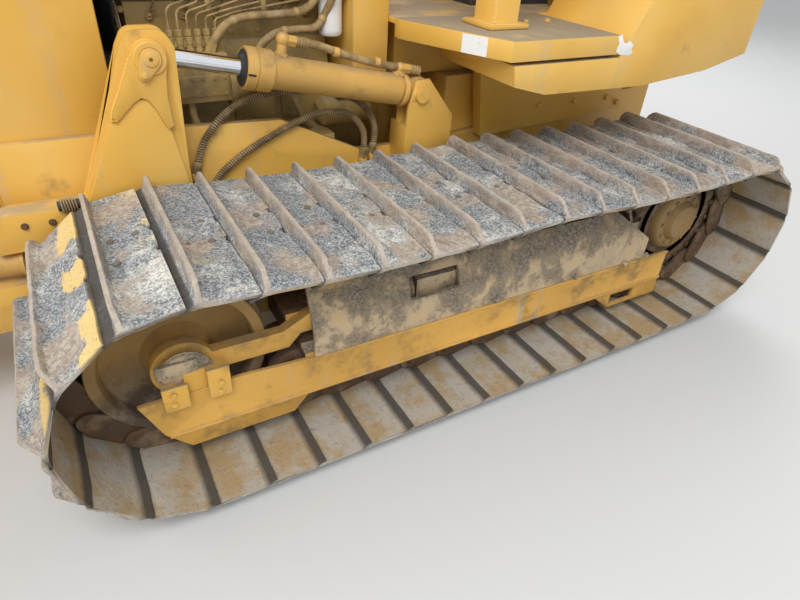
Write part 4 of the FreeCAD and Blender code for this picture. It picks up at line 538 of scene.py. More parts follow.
# Collects parts of one piece: points, faces and how worn each point is
class Heap:
    def __init__(self):
        self.points, self.faces, self.edge, self.slots, self.count = [], [], [], [], 0

    def take(self, points, faces, edge=0.0, slot=0):
        points = np.asarray(points, float).reshape(-1, 3)
        self.faces += [tuple(index + self.count for index in face) for face in faces]
        self.slots += [slot] * len(faces)
        self.edge.append(np.broadcast_to(edge, len(points)))
        self.points.append(points)
        self.count += len(points)

    def put(self, name, node, finishes, smooth=35, replaces=False, slot=True):
        mesh = makeMesh(name, np.concatenate(self.points), self.faces,
                        {"edge": np.concatenate(self.edge)})
        mesh.polygons.foreach_set("material_index", np.asarray(self.slots, np.int32))
        return addPiece(name, mesh, node, finishes, smooth, replaces)


# Two directions square to a line
def squareTo(direction):
    side = unit(np.cross(direction, (0, 0, 1) if abs(direction[2]) < 0.9 else (0, 1, 0)))
    return side, np.cross(direction, side)


# A turned form: radius as a function of the distance along its axis, closed at both ends.
# Point = start + along * axis + radius * (cos t * side + sin t * up)
def turnedForm(heap, start, axis, profile, around=24, slot=0, edge=None):
    axis = unit(axis)
    side, up = squareTo(axis)
    along, radius = np.array(profile, float).T[:, :, None, None]
    turn = roundTurn(around)[:, None]
    points = start + along * axis + radius * (np.cos(turn) * side + np.sin(turn) * up)
    worn = np.repeat(np.zeros(len(profile)) if edge is None else edge, around)
    heap.take(points, tubeFaces(len(profile), around), worn, slot)


# Two directions square to a path at each point, carried along it without a twist
def alongPath(path):
    along = np.gradient(path, axis=0)
    along /= np.linalg.norm(along, axis=1)[:, None]
    side, across = squareTo(along[0])[0], []
    for heading in along:
        side = unit(side - heading * side.dot(heading))
        across.append(side)
    return np.array(across)[:, None], np.cross(along, across)[:, None]


# A tube along points: a ring square to the path at each point, its radius free to change
def tubeForm(heap, path, radius, around=12, slot=0):
    path = np.asarray(path, float)
    side, up = alongPath(path)
    turn = roundTurn(around)[:, None]
    radius = np.broadcast_to(radius, len(path))[:, None, None]
    points = path[:, None] + radius * (np.cos(turn) * side + np.sin(turn) * up)
    heap.take(points, tubeFaces(len(path), around), 0.0, slot)


# A smooth line through a few points, as a cubic between neighbours with shared slopes
def smoothLine(points, steps=10):
    points = np.asarray(points, float)
    padded = np.concatenate([2 * points[:1] - points[1:2], points, 2 * points[-1:] - points[-2:-1]])
    before, first, second, after = (padded[lag:len(points) - 1 + lag, None] for lag in range(4))
    share = np.linspace(0, 1, steps, endpoint=False)[:, None]
    line = 0.5 * (2 * first + (second - before) * share
                  + (2 * before - 5 * first + 4 * second - after) * share ** 2
                  + (3 * first - before - 3 * second + after) * share ** 3)
    return np.concatenate([line.reshape(-1, 3), points[-1:]])


# Points at a few distances along a line
def pointsAt(line, goals, walked):
    return np.stack([np.interp(goals, walked, places) for places in line.T], 1)


def walkedAlong(line):
    return np.concatenate([[0], np.cumsum(np.linalg.norm(np.diff(line, axis=0), axis=1))])


# Points evenly spaced along a line
def evenly(line, gap):
    walked = walkedAlong(line)
    return pointsAt(line, np.linspace(0, walked[-1], max(2, int(walked[-1] / gap))), walked)


# Straight runs joined by tangent arcs: each arc's angle is the turn between its two runs
def routeLine(spots, share):
    line = [spots[0]]
    for before, corner, after in zip(spots, spots[1:], spots[2:]):
        reach = share * min(np.linalg.norm(before - corner), np.linalg.norm(after - corner))
        back, ahead = unit(before - corner), unit(after - corner)
        half = math.acos(np.clip(back @ ahead, -1, 1)) / 2
        centre = corner + unit(back + ahead) * (reach / math.cos(half))
        first = corner + back * reach - centre
        side = unit(np.cross(np.cross(back, ahead), first)) * reach * math.tan(half)
        if side @ back > 0:
            side = -side
        turn = np.linspace(0, math.pi - 2 * half, 9)[:, None]
        line += list(centre + np.cos(turn) * first + np.sin(turn) * side)
    return np.array(line + [spots[-1]])


# A wire wound round a line: at each point, radius * (cos t * side + sin t * up)
def coilForm(heap, line, radius, wire, pitch, slot=0, steps=12, around=5):
    spots = evenly(line, pitch / steps)
    side, up = (direction[:, 0] for direction in alongPath(spots))
    turn = (2 * math.pi * np.arange(len(spots)) / steps)[:, None]
    tubeForm(heap, spots + radius * (np.cos(turn) * side + np.sin(turn) * up), wire, around, slot)


# Rounds edges. The points that only the new faces share are crests, which carry edge = 1
def roundEdges(made, edges, offset, segments=2):
    layer = made.verts.layers.float.new("edge")
    if edges and offset > 0:
        result = bmesh.ops.bevel(made, geom=edges, offset=offset, segments=segments, profile=0.5,
                                 affect="EDGES", clamp_overlap=True)
        rounded = set(result["faces"])
        for vertex in result["verts"]:
            vertex[layer] = float(rounded.issuperset(vertex.link_faces))
    return layer


# A box with rounded edges between two corners
def chamferBox(heap, first, second, chamfer=0.003, slot=0):
    middle, half = np.add(first, second) / 2, np.abs(np.subtract(second, first)) / 2
    made = bmesh.new()
    bmesh.ops.create_cube(made, size=2.0)
    for vertex in made.verts:
        vertex.co = half * np.array(vertex.co)
    layer = roundEdges(made, made.edges[:], min(chamfer, 0.45 * half.min()))
    made.verts.index_update()
    faces = [tuple(vertex.index for vertex in face.verts) for face in made.faces]
    heap.take(middle + [vertex.co for vertex in made.verts], faces,
              [vertex[layer] for vertex in made.verts], slot)
    made.free()


# Hexagon bolt heads on washers
def boltForms(heap, spots, axis, size, slot=0):
    for spot in spots:
        turnedForm(heap, spot, axis, [(0, size * 0.95), (size * 0.12, size * 0.95)], 14, slot)
        turnedForm(heap, spot, axis, [(0, size * 0.72), (size * 0.62, size * 0.72),
                                      (size * 0.72, size * 0.6)], 6, slot, [0, 0.5, 0.5])


# A raised weld bead along a line: a tube whose radius ripples
def weldForm(heap, path, radius):
    path = smoothLine(path, 24)
    tubeForm(heap, path, radius * (1 + 0.18 * np.sin(np.arange(len(path)) * 1.9)), 8)


# A flat plate with rounded rims from its outline in X and Z, between two places along Y. Each
# ring of points is the outline drawn in by the rim's chamfer; lean shifts a point along Y.
def plateForm(heap, outline, low, high, chamfer=0.002, slot=0, edge=0.8, lean=None):
    outline = np.asarray(outline, float)
    before, after = np.roll(outline, 1, axis=0), np.roll(outline, -1, axis=0)
    first = (outline - before) / np.linalg.norm(outline - before, axis=1)[:, None]
    second = (after - outline) / np.linalg.norm(after - outline, axis=1)[:, None]
    area = np.sum(outline[:, 0] * after[:, 1] - after[:, 0] * outline[:, 1])
    inward = np.stack([-(first + second)[:, 1], (first + second)[:, 0]], 1) * np.sign(area)
    inward /= np.maximum(np.linalg.norm(inward, axis=1), 1e-6)[:, None]
    low, high = min(low, high), max(low, high)
    inset = chamfer * np.array((1, 0.3, 0, 0, 0.3, 1))[:, None]
    across = np.array((low, low + 0.3 * chamfer, low + chamfer, high - chamfer,
                       high - 0.3 * chamfer, high))[:, None]
    x, z = (outline + inward * inset[:, None]).transpose(2, 0, 1)
    across = across + (0 * x if lean is None else lean(x, z))
    faces = tubeFaces(6, len(outline))
    heap.take(np.stack([x, across, z], -1), [face[::-1] for face in faces] if area > 0 else faces,
              np.repeat(edge * np.array((0.4, 1, 0.4, 0.4, 1, 0.4)), len(outline)), slot)


# A CAD node as rounded plate: doubles merged, flat faces joined, sharp edges bevelled.
# The bevels' crests carry edge = 1, which the paint wears through.
def dress(node, finishes, bevel, pick=None):
    made = bmesh.new()
    made.from_mesh(frame["nodes"][node].data)
    bmesh.ops.remove_doubles(made, verts=made.verts[:], dist=2e-5)
    bmesh.ops.dissolve_limit(made, angle_limit=math.radians(0.6), verts=made.verts[:],
                             edges=made.edges[:])
    roundEdges(made, [line for line in made.edges if len(line.link_faces) == 2
                      and line.calc_face_angle(0) > math.radians(32)
                      and line.calc_length() > 0.004], bevel)
    if pick:
        for face in made.faces:
            face.material_index = pick(face.calc_center_median(), face.normal)
    mesh = bpy.data.meshes.new(node + "_surface")
    made.to_mesh(mesh)
    made.free()
    addPiece(node + "_surface", mesh, node, finishes, 30)


# The sloping upper guard of a track frame is browner than the band below it. The parts
# inboard of the guard take the dark chain rust finish as painted shade, for the shadow
# behind the guard
def guardPick(spot, normal):
    # painted shade: the inboard parts, in the guard's shadow, get the dark chain rust
    if abs(spot.y) < 0.945 and spot.x < 0.45:
        return 2
    return 1 if spot.z > 0.322 and spot.x < 0.21 else 0


# Boots and dust leave the step plates browner than their sides
def stepPick(spot, normal):
    return 1 if normal.z > 0.9 and spot.z < 1.16 else 0


# Nodes that keep the solids' form, with the radius of their worn edges in millimetres
dressed = (
    (paints["clean"], {"radiator_guard": 4, "front_grille": 1.5, "hood": 4, "dash_cowl": 3,
                       "canopy_posts": 4, "canopy_roof": 6, "fuel_tank": 8, "air_cleaner": 3}),
    (paints["deck"], {"floor": 3}),
    (paints["working"], {"main_frame": 3, "rear_case": 6, "drawbar": 3, "c_frame": 3,
                         "blade_ball": 3, "blade": 3, "left_final_drive": 3,
                         "right_final_drive": 3}),
    (paints["engine"], {"engine_block": 6, "cylinder_head": 5}),
    (paints["barrel"], {"left_lift_barrel": 3, "right_lift_barrel": 3, "left_angle_barrel": 3,
                        "right_angle_barrel": 3, "tilt_barrel": 3}),
    (chrome, {"left_lift_rod": 1, "right_lift_rod": 1, "left_angle_rod": 1, "right_angle_rod": 1,
              "tilt_rod": 1}),
    (rust, {"cutting_edge": 2}),
    (soot, {"exhaust_stack": 2}),
    (core, {"radiator": 2}),
    (black, {"engine_fan": 1, "seat_base": 4, "lamps": 2, "levers": 1.5}),
)
for finish, nodes in dressed:
    for node, bevel in nodes.items():
        dress(node, [finish], bevel / 1000)
for side in sides:
    dress(side + "_fender", [paints["clean"], paints["step"]], 0.003, stepPick)
    # the third finish, chain rust, paints the parts inboard of the guard dark as shade
    dress(side + "_track_frame", [paints["band"], caked, chainRust], 0.003, guardPick)
print("plates dressed")


# Smooth noise from a small lattice of seeded values: 0 to 1 at any point
def latticeNoise(points, scale, seed=1, size=24):
    values = np.random.default_rng(seed).random((size, size, size))
    spots = np.asarray(points, float) * scale
    cell = np.floor(spots).astype(int)
    share = spots - cell
    share = share * share * (3 - 2 * share)
    total = 0.0
    for corner in np.ndindex(2, 2, 2):
        weight = np.prod(np.where(np.array(corner) == 1, share, 1 - share), axis=-1)
        total = total + weight * values[tuple(np.moveaxis((cell + corner) % size, -1, 0))]
    return total


# Several octaves of it, each half as strong and twice as fine
def roughNoise(points, scale, octaves=4, seed=1):
    parts = [latticeNoise(points, scale * 2 ** step, seed + step) * 0.5 ** step
             for step in range(octaves)]
    return sum(parts) / sum(0.5 ** step for step in range(octaves))


# Tracks

track = {
    "gauge": 1.727,
    "width": 0.66,
    "links": 39,
    "radius": 0.294,  # pins round the idler
    "teeth": 23,  # two to a link
    "plate": 0.01,
    "bar": 0.045,  # grouser height
    "seat": 0.042,  # shoe's seat above the pins
    "idlerX": 0.579,
    "sprocketX": -1.532,
    "firstRollerX": 0.25,
    "carrierX": -0.566,
    "lastRollerX": -1.15,
    "sag": (0.018, 0.024),  # behind and ahead of the carrier roller
    "mud": 0.011,  # thickest mud on a shoe
    "ramp": 0.032,  # and behind its grouser
    "rail": 0.044,  # running face below the pins
    "railIn": 0.046,
    "chainBolts": (0.032, 0.058),  # along and across, from the shoe's middle
}
axleZ = track["seat"] + track["plate"] + track["bar"] + track["radius"]
sideY = track["gauge"] / 2


# The closed path of the pins: two half rings, a run along the ground and two sagging runs above
def pinPath(rearRadius):
    front, rear, carrier = track["idlerX"], track["sprocketX"], track["carrierX"]
    radius = track["radius"]

    def ring(x, reach, first, last):
        turn = np.radians(np.linspace(first, last, 49))
        return np.stack([x + reach * np.cos(turn), axleZ + reach * np.sin(turn)], 1)

    parts = [ring(rear, rearRadius, 262, 90)]
    stops = ((rear, axleZ + rearRadius), (carrier, axleZ + (radius + rearRadius) / 2 - 0.004),
             (front, axleZ + radius))
    share = np.linspace(0, 1, 49)[1:, None]
    for place, following, sag in zip(stops, stops[1:], track["sag"]):
        drop = 4 * sag * share * (1 - share)
        parts.append(place + share * np.subtract(following, place) - drop * np.array((0, 1)))
    return np.concatenate(parts + [ring(front, radius, 90, -90)[1:],
                                   [(track["lastRollerX"], axleZ - radius)]])


# Pins a pitch apart along the path. The sprocket's radius follows from the pitch: half as many
# links as teeth go round it.
def layPins():
    rearRadius = track["radius"]
    for _ in range(8):
        path = pinPath(rearRadius)
        closed = np.concatenate([path, path[:1]])
        walked = walkedAlong(closed)
        pitch = walked[-1] / track["links"]
        rearRadius = pitch * track["teeth"] / (4 * math.pi)
    return pointsAt(closed, np.arange(track["links"]) * pitch, walked), rearRadius


pins, rearRadius = layPins()
nextPins = np.roll(pins, -1, axis=0)
linkMiddle = (pins + nextPins) / 2
linkReach = np.linalg.norm(nextPins - pins, axis=1)
linkAlong = (nextPins - pins) / linkReach[:, None]
linkOut = np.stack([-linkAlong[:, 1], linkAlong[:, 0]], 1)


# A point of each link in the machine's frame, from its place along the link, its height outside
# the pins and its Y. Arrays: links first.
def onLinks(along, height, across):
    spot = (linkMiddle[:, None] + linkAlong[:, None] * along[..., None]
            + linkOut[:, None] * height[..., None])
    across = np.broadcast_to(across, spot.shape[:2])
    return np.stack([spot[..., 0], across, spot[..., 1]], -1)


# A shoe's section as a closed line: the lip that runs under the shoe ahead, the grouser on the
# leading edge, the plate back to its tail and the underside. Columns: share of half the link,
# offset, height, 1 outside, wear, and 1 on the grouser.
def shoeSection():
    seat = track["seat"]
    top, crest = seat + track["plate"], seat + track["plate"] + track["bar"]
    rows = [(1, 0.03, seat - 0.014, 0, 0.3, 0), (1, 0.032, seat - 0.008, 1, 0.3, 0),
            (1, 0.012, seat - 0.001, 1, 0, 0), (1, 0.001, top - 0.003, 1, 0, 0),
            (1, -0.0055, top, 1, 0, 0.8), (1, -0.0065, top + 0.01, 1, 0, 1),
            (1, -0.0072, top + 0.028, 1, 0.1, 1), (1, -0.0078, crest - 0.004, 1, 0.4, 1),
            (1, -0.0095, crest - 0.0005, 1, 0.9, 1), (1, -0.0185, crest - 0.0005, 1, 0.9, 1),
            (1, -0.0205, crest - 0.004, 1, 0.4, 1), (1, -0.0212, top + 0.028, 1, 0.1, 1),
            (1, -0.0222, top + 0.012, 1, 0, 0.7), (1, -0.026, top + 0.003, 1, 0, 0.3),
            (1, -0.036, top, 1, 0, 0)]
    rows += [(share, 0, top, 1, 0, 0) for share in np.linspace(0.42, -0.86, 10)]
    rows += [(-1, 0.004, top + 0.001, 1, 0.7, 0), (-1, 0.003, seat + 0.002, 0, 0.5, 0)]
    rows += [(share, 0, seat, 0, 0, 0) for share in (-0.8, -0.45, -0.1, 0.25, 0.6)]
    rows += [(0.9, 0, seat - 0.001, 0, 0, 0), (1, 0.01, seat - 0.006, 0, 0, 0)]
    return np.array(rows)


def addShoes(side):
    sign = sides[side]
    section = shoeSection()
    half = track["width"] / 2
    stations = np.concatenate([[-1, -0.996, -0.988], np.linspace(-0.97, -0.26, 16),
                               np.linspace(-0.235, 0.235, 15), np.linspace(0.26, 0.97, 16),
                               [0.988, 0.996, 1]]) * half
    rows, columns, links = len(section), len(stations), track["links"]
    shape = (links, rows, columns)
    link = np.broadcast_to(np.arange(links)[:, None, None], shape)
    across = np.broadcast_to(stations, shape)
    lead = linkReach[:, None, None] / 2  # the shoe's leading edge
    share, offset, height, outer, wear, grouser = (
        np.broadcast_to(column[None, :, None], shape) for column in section.T)
    # two notches in the tail, over the chain
    along = share * lead + offset + (share == -1) * 0.022 * np.clip(
        1.4 - np.abs(np.abs(across) - 0.06) / 0.012, 0, 1)
    flat = onLinks(*(part.reshape(links, -1) for part in (along, height, sign * sideY + across)))
    top = track["seat"] + track["plate"]
    tall = np.clip((height - top) / track["bar"], 0, 1)
    fromEnd = half - np.abs(across)
    place = np.stack([along + 3.7 * link, across, height], -1)
    patch, broad = roughNoise(place, 9.0, 5, 3 + sign), roughNoise(place, 2.6, 2, 9 + sign)
    nick = roughNoise(np.stack([0 * across, across, 5.3 * link], -1), 26.0, 3, 17)
    # the grouser: outboard end cut at a slope, inboard end pointed, crest nicked
    cut = (np.clip(0.045 - (half - across * sign), 0, 1)
           + np.clip(0.016 - (half + across * sign), 0, 1) * 1.6)
    drop = tall * np.minimum(cut + 0.004 * np.clip(nick * 2.2 - 1.1, 0, 1), 0.044)
    # mud: a ramp behind the grouser in slow patches, a thin coat elsewhere
    ramp = (1 - np.clip((lead - 0.024 - along) / 0.065, 0, 1)) ** 2 * (along < lead - 0.02)
    banked = np.clip(3.2 * roughNoise(place * (0.35, 1, 0.35), 7.0, 4, 21 + sign) - 1.45, 0, 1)
    clear = outer * (1 - tall) * np.clip(fromEnd / 0.012, 0, 1) * (along < lead)
    mud = clear * (track["mud"] * np.clip(2.8 * patch + 0.9 * broad - 1.55, 0, 1)
                   + track["ramp"] * ramp * banked)
    mud += 0.0024 * outer * (1 - tall) * (roughNoise(place, 75.0, 2, 31) - 0.5)
    inside = (1 - outer) * np.clip(patch * 2 - 0.9, 0, 1) * 0.006
    outwards = np.stack([linkOut[:, 0], 0 * linkOut[:, 0], linkOut[:, 1]], -1)[:, None, None]
    points = flat.reshape(*shape, 3) + outwards * (mud - drop - inside)[..., None]
    # paint shows on the shoes that climb the idler
    x, z = (linkMiddle - (0.74, 0.5)).T[:, :, None, None] / 0.2
    bare = (np.exp(-(x ** 2 + z ** 2)) * np.clip(0.75 - along / 0.06, 0, 1.3)
            * (1.45 - 1.1 * patch) * (mud < 0.006) * (1 - 0.5 * grouser))
    faces = []
    for start in np.arange(links) * rows * columns:
        ends = [start + row * columns for row in range(rows)]
        faces += gridFaces(rows, columns, closedRows=True, start=start)
        faces += [tuple(ends), tuple(corner + columns - 1 for corner in ends[::-1])]
    mesh = makeMesh(side + "_track_shoes", points, [face[::-1] for face in faces], {
        "edge": np.maximum(wear * (1 - mud / 0.02).clip(0, 1),
                           np.clip(1 - fromEnd / 0.003, 0, 1) * 0.7),
        "outer": outer, "paint": bare, "grouser": grouser * (1 - np.clip(mud / 0.004, 0, 1)),
        # the faces in the gap under the next shoe, which the mud finish paints near black as shade
        "seam_shade": (share == 1) & (offset >= 0.001) | (share == -1) & (height < top)})
    addPiece(side + "_track_shoes", mesh, side + "_track", [cake], 28)


# A link's side plate: two round bosses, a flat rail below and a flat seat above, waisted between
def linkOutline(reach):
    half, boss = reach / 2, 0.03
    turn = np.radians(np.linspace(-60, 60, 7))
    front = np.stack([half + boss * np.cos(turn), boss * np.sin(turn)], 1)
    rear = np.stack([-half - boss * np.cos(turn), -boss * np.sin(turn)], 1)
    seat, rail = track["seat"], -track["rail"]
    top = [(half - 0.012, seat - 0.004), (half - 0.02, seat), (-half + 0.03, seat),
           (-half + 0.018, seat - 0.006), (-half - 0.006, 0.03)]
    bottom = [(-half - 0.004, -0.032), (-half + 0.022, rail + 0.002), (-half + 0.034, rail),
              (half - 0.034, rail), (half - 0.022, rail + 0.002), (half + 0.004, -0.034)]
    return np.concatenate([front, top, rear, bottom])


# Chain: on each link two side plates that lap over the next link's, a bushing and a pin, and
# the four bolts that hold the shoe. The plates step outwards from the front end to the rear.
def addChain(side):
    heap, middle = Heap(), sides[side] * sideY
    apart, aside = track["chainBolts"]
    for pin, along, out, spot, reach in zip(pins, linkAlong, linkOut, linkMiddle, linkReach):
        shape = linkOutline(reach)
        for hand in (-1, 1):
            def lean(x, z):
                share = np.clip(0.5 - (np.stack([x, z], -1) - spot) @ along / 0.07, 0, 1)
                return hand * 0.017 * share * share * (3 - 2 * share)
            base = middle + hand * (track["railIn"] + 0.007)
            plateForm(heap, spot + shape @ (along, out), base - 0.0075, base + 0.0075, 0.003, 0,
                      0.6, lean)
        turnedForm(heap, (pin[0], middle - 0.047, pin[1]), (0, 1, 0),
                   [(0, 0.024), (0.094, 0.024)], 16)
        turnedForm(heap, (pin[0], middle - 0.081, pin[1]), (0, 1, 0), [
            (0, 0.011), (0.002, 0.012), (0.002, 0.0165), (0.16, 0.0165), (0.16, 0.012),
            (0.162, 0.011)], 14, 0, [0, 0.5, 0.6, 0.6, 0.5, 0])
        flat = spot + out * (track["seat"] + track["plate"] - 0.006)
        for x, z in (flat - along * apart, flat + along * apart):
            boltForms(heap, [(x, middle - aside, z), (x, middle + aside, z)], (out[0], 0, out[1]),
                      0.015, 1)
    heap.put(side + "_track_chain", side + "_track", [chainRust, mudBolt], 40, slot=False)


wheels = {
    "tread": 0.2436,  # idler's running radius
    "half": 0.084,  # half of the idler's width
    "hub": 0.074,
    "sprocket": 0.033,  # half of its thickness
    "roller": 0.085,
    "carrier": 0.07,
}


# Idler: a dished disc between a deep rim with a middle flange and a hub with its caps
def addIdler(side):
    sign, heap = sides[side], Heap()
    tread, half, hub = (wheels[key] for key in ("tread", "half", "hub"))
    flange = track["railIn"] - 0.012
    section = [(-half, tread - 0.03), (-half, tread - 0.003), (-half + 0.003, tread),
               (-flange - 0.001, tread), (-flange, tread + 0.002), (-flange + 0.003, tread + 0.009),
               (-flange + 0.006, tread + 0.0105), (flange - 0.006, tread + 0.0105),
               (flange - 0.003, tread + 0.009), (flange, tread + 0.002), (flange + 0.001, tread),
               (half - 0.003, tread), (half, tread - 0.003), (half, tread - 0.03),
               (half - 0.006, tread - 0.034), (half - 0.04, tread - 0.04),
               (half - 0.056, tread - 0.062), (half - 0.06, 0.13), (half - 0.05, hub + 0.026),
               (half - 0.03, hub + 0.012), (0.076, hub + 0.004), (0.078, hub), (0.078, 0.04)]
    inboard = [(-along, radius) for along, radius in section[:0:-1] if along > flange + 0.002]
    start = np.array((track["idlerX"], sign * sideY, axleZ))
    turnedForm(heap, start, (0, sign, 0), inboard + section, 96, 0,
               [0.5 if radius > tread - 0.002 else 0.0 for _, radius in inboard + section])
    turnedForm(heap, start - (0, 0.098, 0), (0, 1, 0), [
        (0, 0.03), (0.002, 0.036), (0.194, 0.036), (0.196, 0.03)], 28, 1)
    heap.put(side + "_idler_wheel", side + "_idler", [muddyWheel, chainRust], 35, True)


# Sprocket: teeth in five bolted segments, a dished carrier and the bolted hub cover
def addSprocket(side):
    sign, heap = sides[side], Heap()
    root, crest, thick = rearRadius - 0.0245, rearRadius + 0.015, wheels["sprocket"]
    tooth = np.array(((-0.22, root + 0.004), (-0.12, root), (0.12, root), (0.22, root + 0.004),
                      (0.3, root + 0.016), (0.36, crest - 0.008), (0.42, crest), (0.58, crest),
                      (0.64, crest - 0.008), (0.7, root + 0.016)))
    start = np.array((track["sprocketX"], sign * sideY, axleZ))
    phase = math.atan2(pins[0][1] - axleZ, pins[0][0] - start[0])
    turn = phase + roundTurn(track["teeth"])[:, None] + tooth[:, 0] * 2 * math.pi / track["teeth"]
    outline = start[::2] + (tooth[:, 1, None] * np.stack([np.cos(turn), np.sin(turn)], -1))
    plateForm(heap, outline.reshape(-1, 2), start[1] - thick, start[1] + thick, 0.004, 1, 0.7)
    axis, face = np.array((0, sign, 0)), thick + 0.0005
    turnedForm(heap, start + axis * face, axis, [
        (0, root - 0.006), (0.004, root - 0.01), (0.004, root - 0.04), (0.001, root - 0.044)],
        72, 1, [0.3, 0.8, 0.8, 0.2])
    turnedForm(heap, start + axis * face, axis, [
        (-0.002, root - 0.052), (0.001, root - 0.056), (0.001, 0.172), (-0.008, 0.164),
        (-0.008, 0.146), (0.012, 0.14), (0.026, 0.132), (0.034, 0.118), (0.034, 0.092),
        (0.04, 0.088), (0.058, 0.074), (0.062, 0.06), (0.063, 0.012), (0.066, 0.01),
        (0.066, 0.002)], 72, 0,
        [0.5, 0.8, 0.2, 0, 0, 0.4, 0.3, 0.7, 0.1, 0.2, 0.4, 0.7, 0, 0.6, 0.2])
    for count, shift, reach, rise, size, slot in ((20, 0.5, root - 0.025, 0.004, 0.015, 1),
                                                  (12, 0, 0.105, 0.034, 0.011, 0)):
        turn = roundTurn(count)[:, None] + shift * 2 * math.pi / count
        boltForms(heap, start + axis * (face + rise) + reach * np.hstack(
            [np.cos(turn), 0 * turn, np.sin(turn)]), axis, size, slot)
    heap.put(side + "_sprocket_wheel", side + "_sprocket", [paints["wheel"], chainRust], 35, True)


# Rollers: seven double-flanged rollers below with their end collars, one carrier roller above
def addRollers(side):
    heap, middle, radius = Heap(), sides[side] * sideY, wheels["roller"]
    low = axleZ - track["radius"] + track["rail"] + 0.001 + radius
    for place in np.linspace(track["firstRollerX"], track["lastRollerX"], 7):
        turnedForm(heap, (place, middle - 0.092, low), (0, 1, 0), [
            (0, radius - 0.02), (0.001, radius - 0.012), (0.008, radius - 0.001),
            (0.012, radius), (0.014, radius - 0.002), (0.045, radius - 0.002),
            (0.052, radius - 0.016), (0.132, radius - 0.016), (0.139, radius - 0.002),
            (0.17, radius - 0.002), (0.172, radius), (0.176, radius - 0.001),
            (0.183, radius - 0.012), (0.184, radius - 0.02)], 40, 0,
            [0, 0.2, 0.5, 0.6, 0.5, 0.4, 0, 0, 0.4, 0.4, 0.6, 0.5, 0.2, 0])
        turnedForm(heap, (place, middle - 0.136, low), (0, 1, 0), [
            (0, 0.022), (0.001, 0.034), (0.02, 0.04), (0.03, 0.04), (0.242, 0.04),
            (0.252, 0.04), (0.271, 0.034), (0.272, 0.022)], 24)
    radius = wheels["carrier"]
    high = axleZ + (track["radius"] + rearRadius) / 2 - 0.004 - track["rail"] - 0.005 - radius
    turnedForm(heap, (track["carrierX"], middle - 0.078, high), (0, 1, 0), [
        (0, radius - 0.02), (0.002, radius - 0.004), (0.006, radius), (0.15, radius),
        (0.154, radius - 0.004), (0.156, radius - 0.02)], 36, 0, [0, 0.4, 0.6, 0.6, 0.4, 0])
    heap.put(side + "_roller_set", side + "_rollers", [chainRust], 35, True)


for side in sides:
    addShoes(side)
    addChain(side)
    addIdler(side)
    addSprocket(side)
    addRollers(side)
print("tracks laid")


# Hydraulic hoses along the hull: each held at both ends, armoured by a wire coil

hoses = {
    "radius": 0.0098,
    "wire": 0.0024,
    "pitch": 0.0082,  # between the coil's turns
    "outY": 0.403,  # the outermost place of the middle lines
    "share": 0.45,  # part of the shorter run that a bend takes
}
# Columns: X, how far inboard the middle line lies, and Z
routes = (
    ((-0.284, 0, 0.683), (-0.3, 0, 0.79), (-0.238, 0.008, 0.88), (-0.125, 0.018, 0.914),
     (0.01, 0.018, 0.932), (0.125, 0.018, 0.926), (0.212, 0.018, 0.898), (0.272, 0, 0.864),
     (0.33, 0, 0.8), (0.366, 0, 0.7)),
    ((-0.246, 0, 0.67), (-0.254, 0, 0.77), (-0.195, 0, 0.842), (-0.08, 0, 0.858),
     (0.06, 0, 0.812), (0.2, 0, 0.748), (0.3, 0, 0.676), (0.34, 0, 0.59)),
)


def addHoses(side):
    sign = sides[side]
    heap = Heap()
    for route in routes:
        spots = np.array([(x, sign * (hoses["outY"] - inboard), z) for x, inboard, z in route])
        line = routeLine(spots, hoses["share"])
        tubeForm(heap, evenly(line, 0.012), hoses["radius"], 14)
        coilForm(heap, line, hoses["radius"], hoses["wire"], hoses["pitch"], 1)
        for end, following in ((line[0], line[1]), (line[-1], line[-2])):
            along = (following - end) / np.linalg.norm(following - end)
            turnedForm(heap, end - along * 0.004, along, [
                (0, 0.01), (0.001, 0.0135), (0.016, 0.0135), (0.017, 0.0145), (0.04, 0.0145),
                (0.042, 0.0125), (0.043, 0.01)], 18, 2)
            turnedForm(heap, end + along * 0.004, along, [(0, 0.016), (0.012, 0.016)], 6, 2)
            low = end - (0.013, 0.013, 0.026)
            chamferBox(heap, (low[0], min(sign * 0.391, end[1] + sign * 0.012), low[2]),
                       (end[0] + 0.013, max(sign * 0.391, end[1] + sign * 0.012), end[2] + 0.002),
                       0.002, 3)
    heap.put(side + "_armoured_hoses", side + "_hoses",
             [hoseSkin, coilSteel, fitting, paints["working"]], 50, True)


for side in sides:
    addHoses(side)
print("hoses laid")


# Undercarriage trim: recoil spring, idler hub caps, bolts on the guards

undercarriage = {
    "housingY": 0.138,  # outer face of the bearing housing from the track's middle
    "capRadius": 0.066,
    "capRise": 0.01,
    "springX": (-0.35, 0.098),
    "springRadius": 0.056,
    "springWire": 0.0085,
    "springPitch": 0.034,
    "guardBolts": ((-0.481, 0.331), (-0.859, 0.328), (-1.129, 0.322), (-1.25, 0.328)),
    "blockBolts": ((0.623, 0.356), (0.626, 0.322), (0.496, 0.353), (0.501, 0.322)),
}


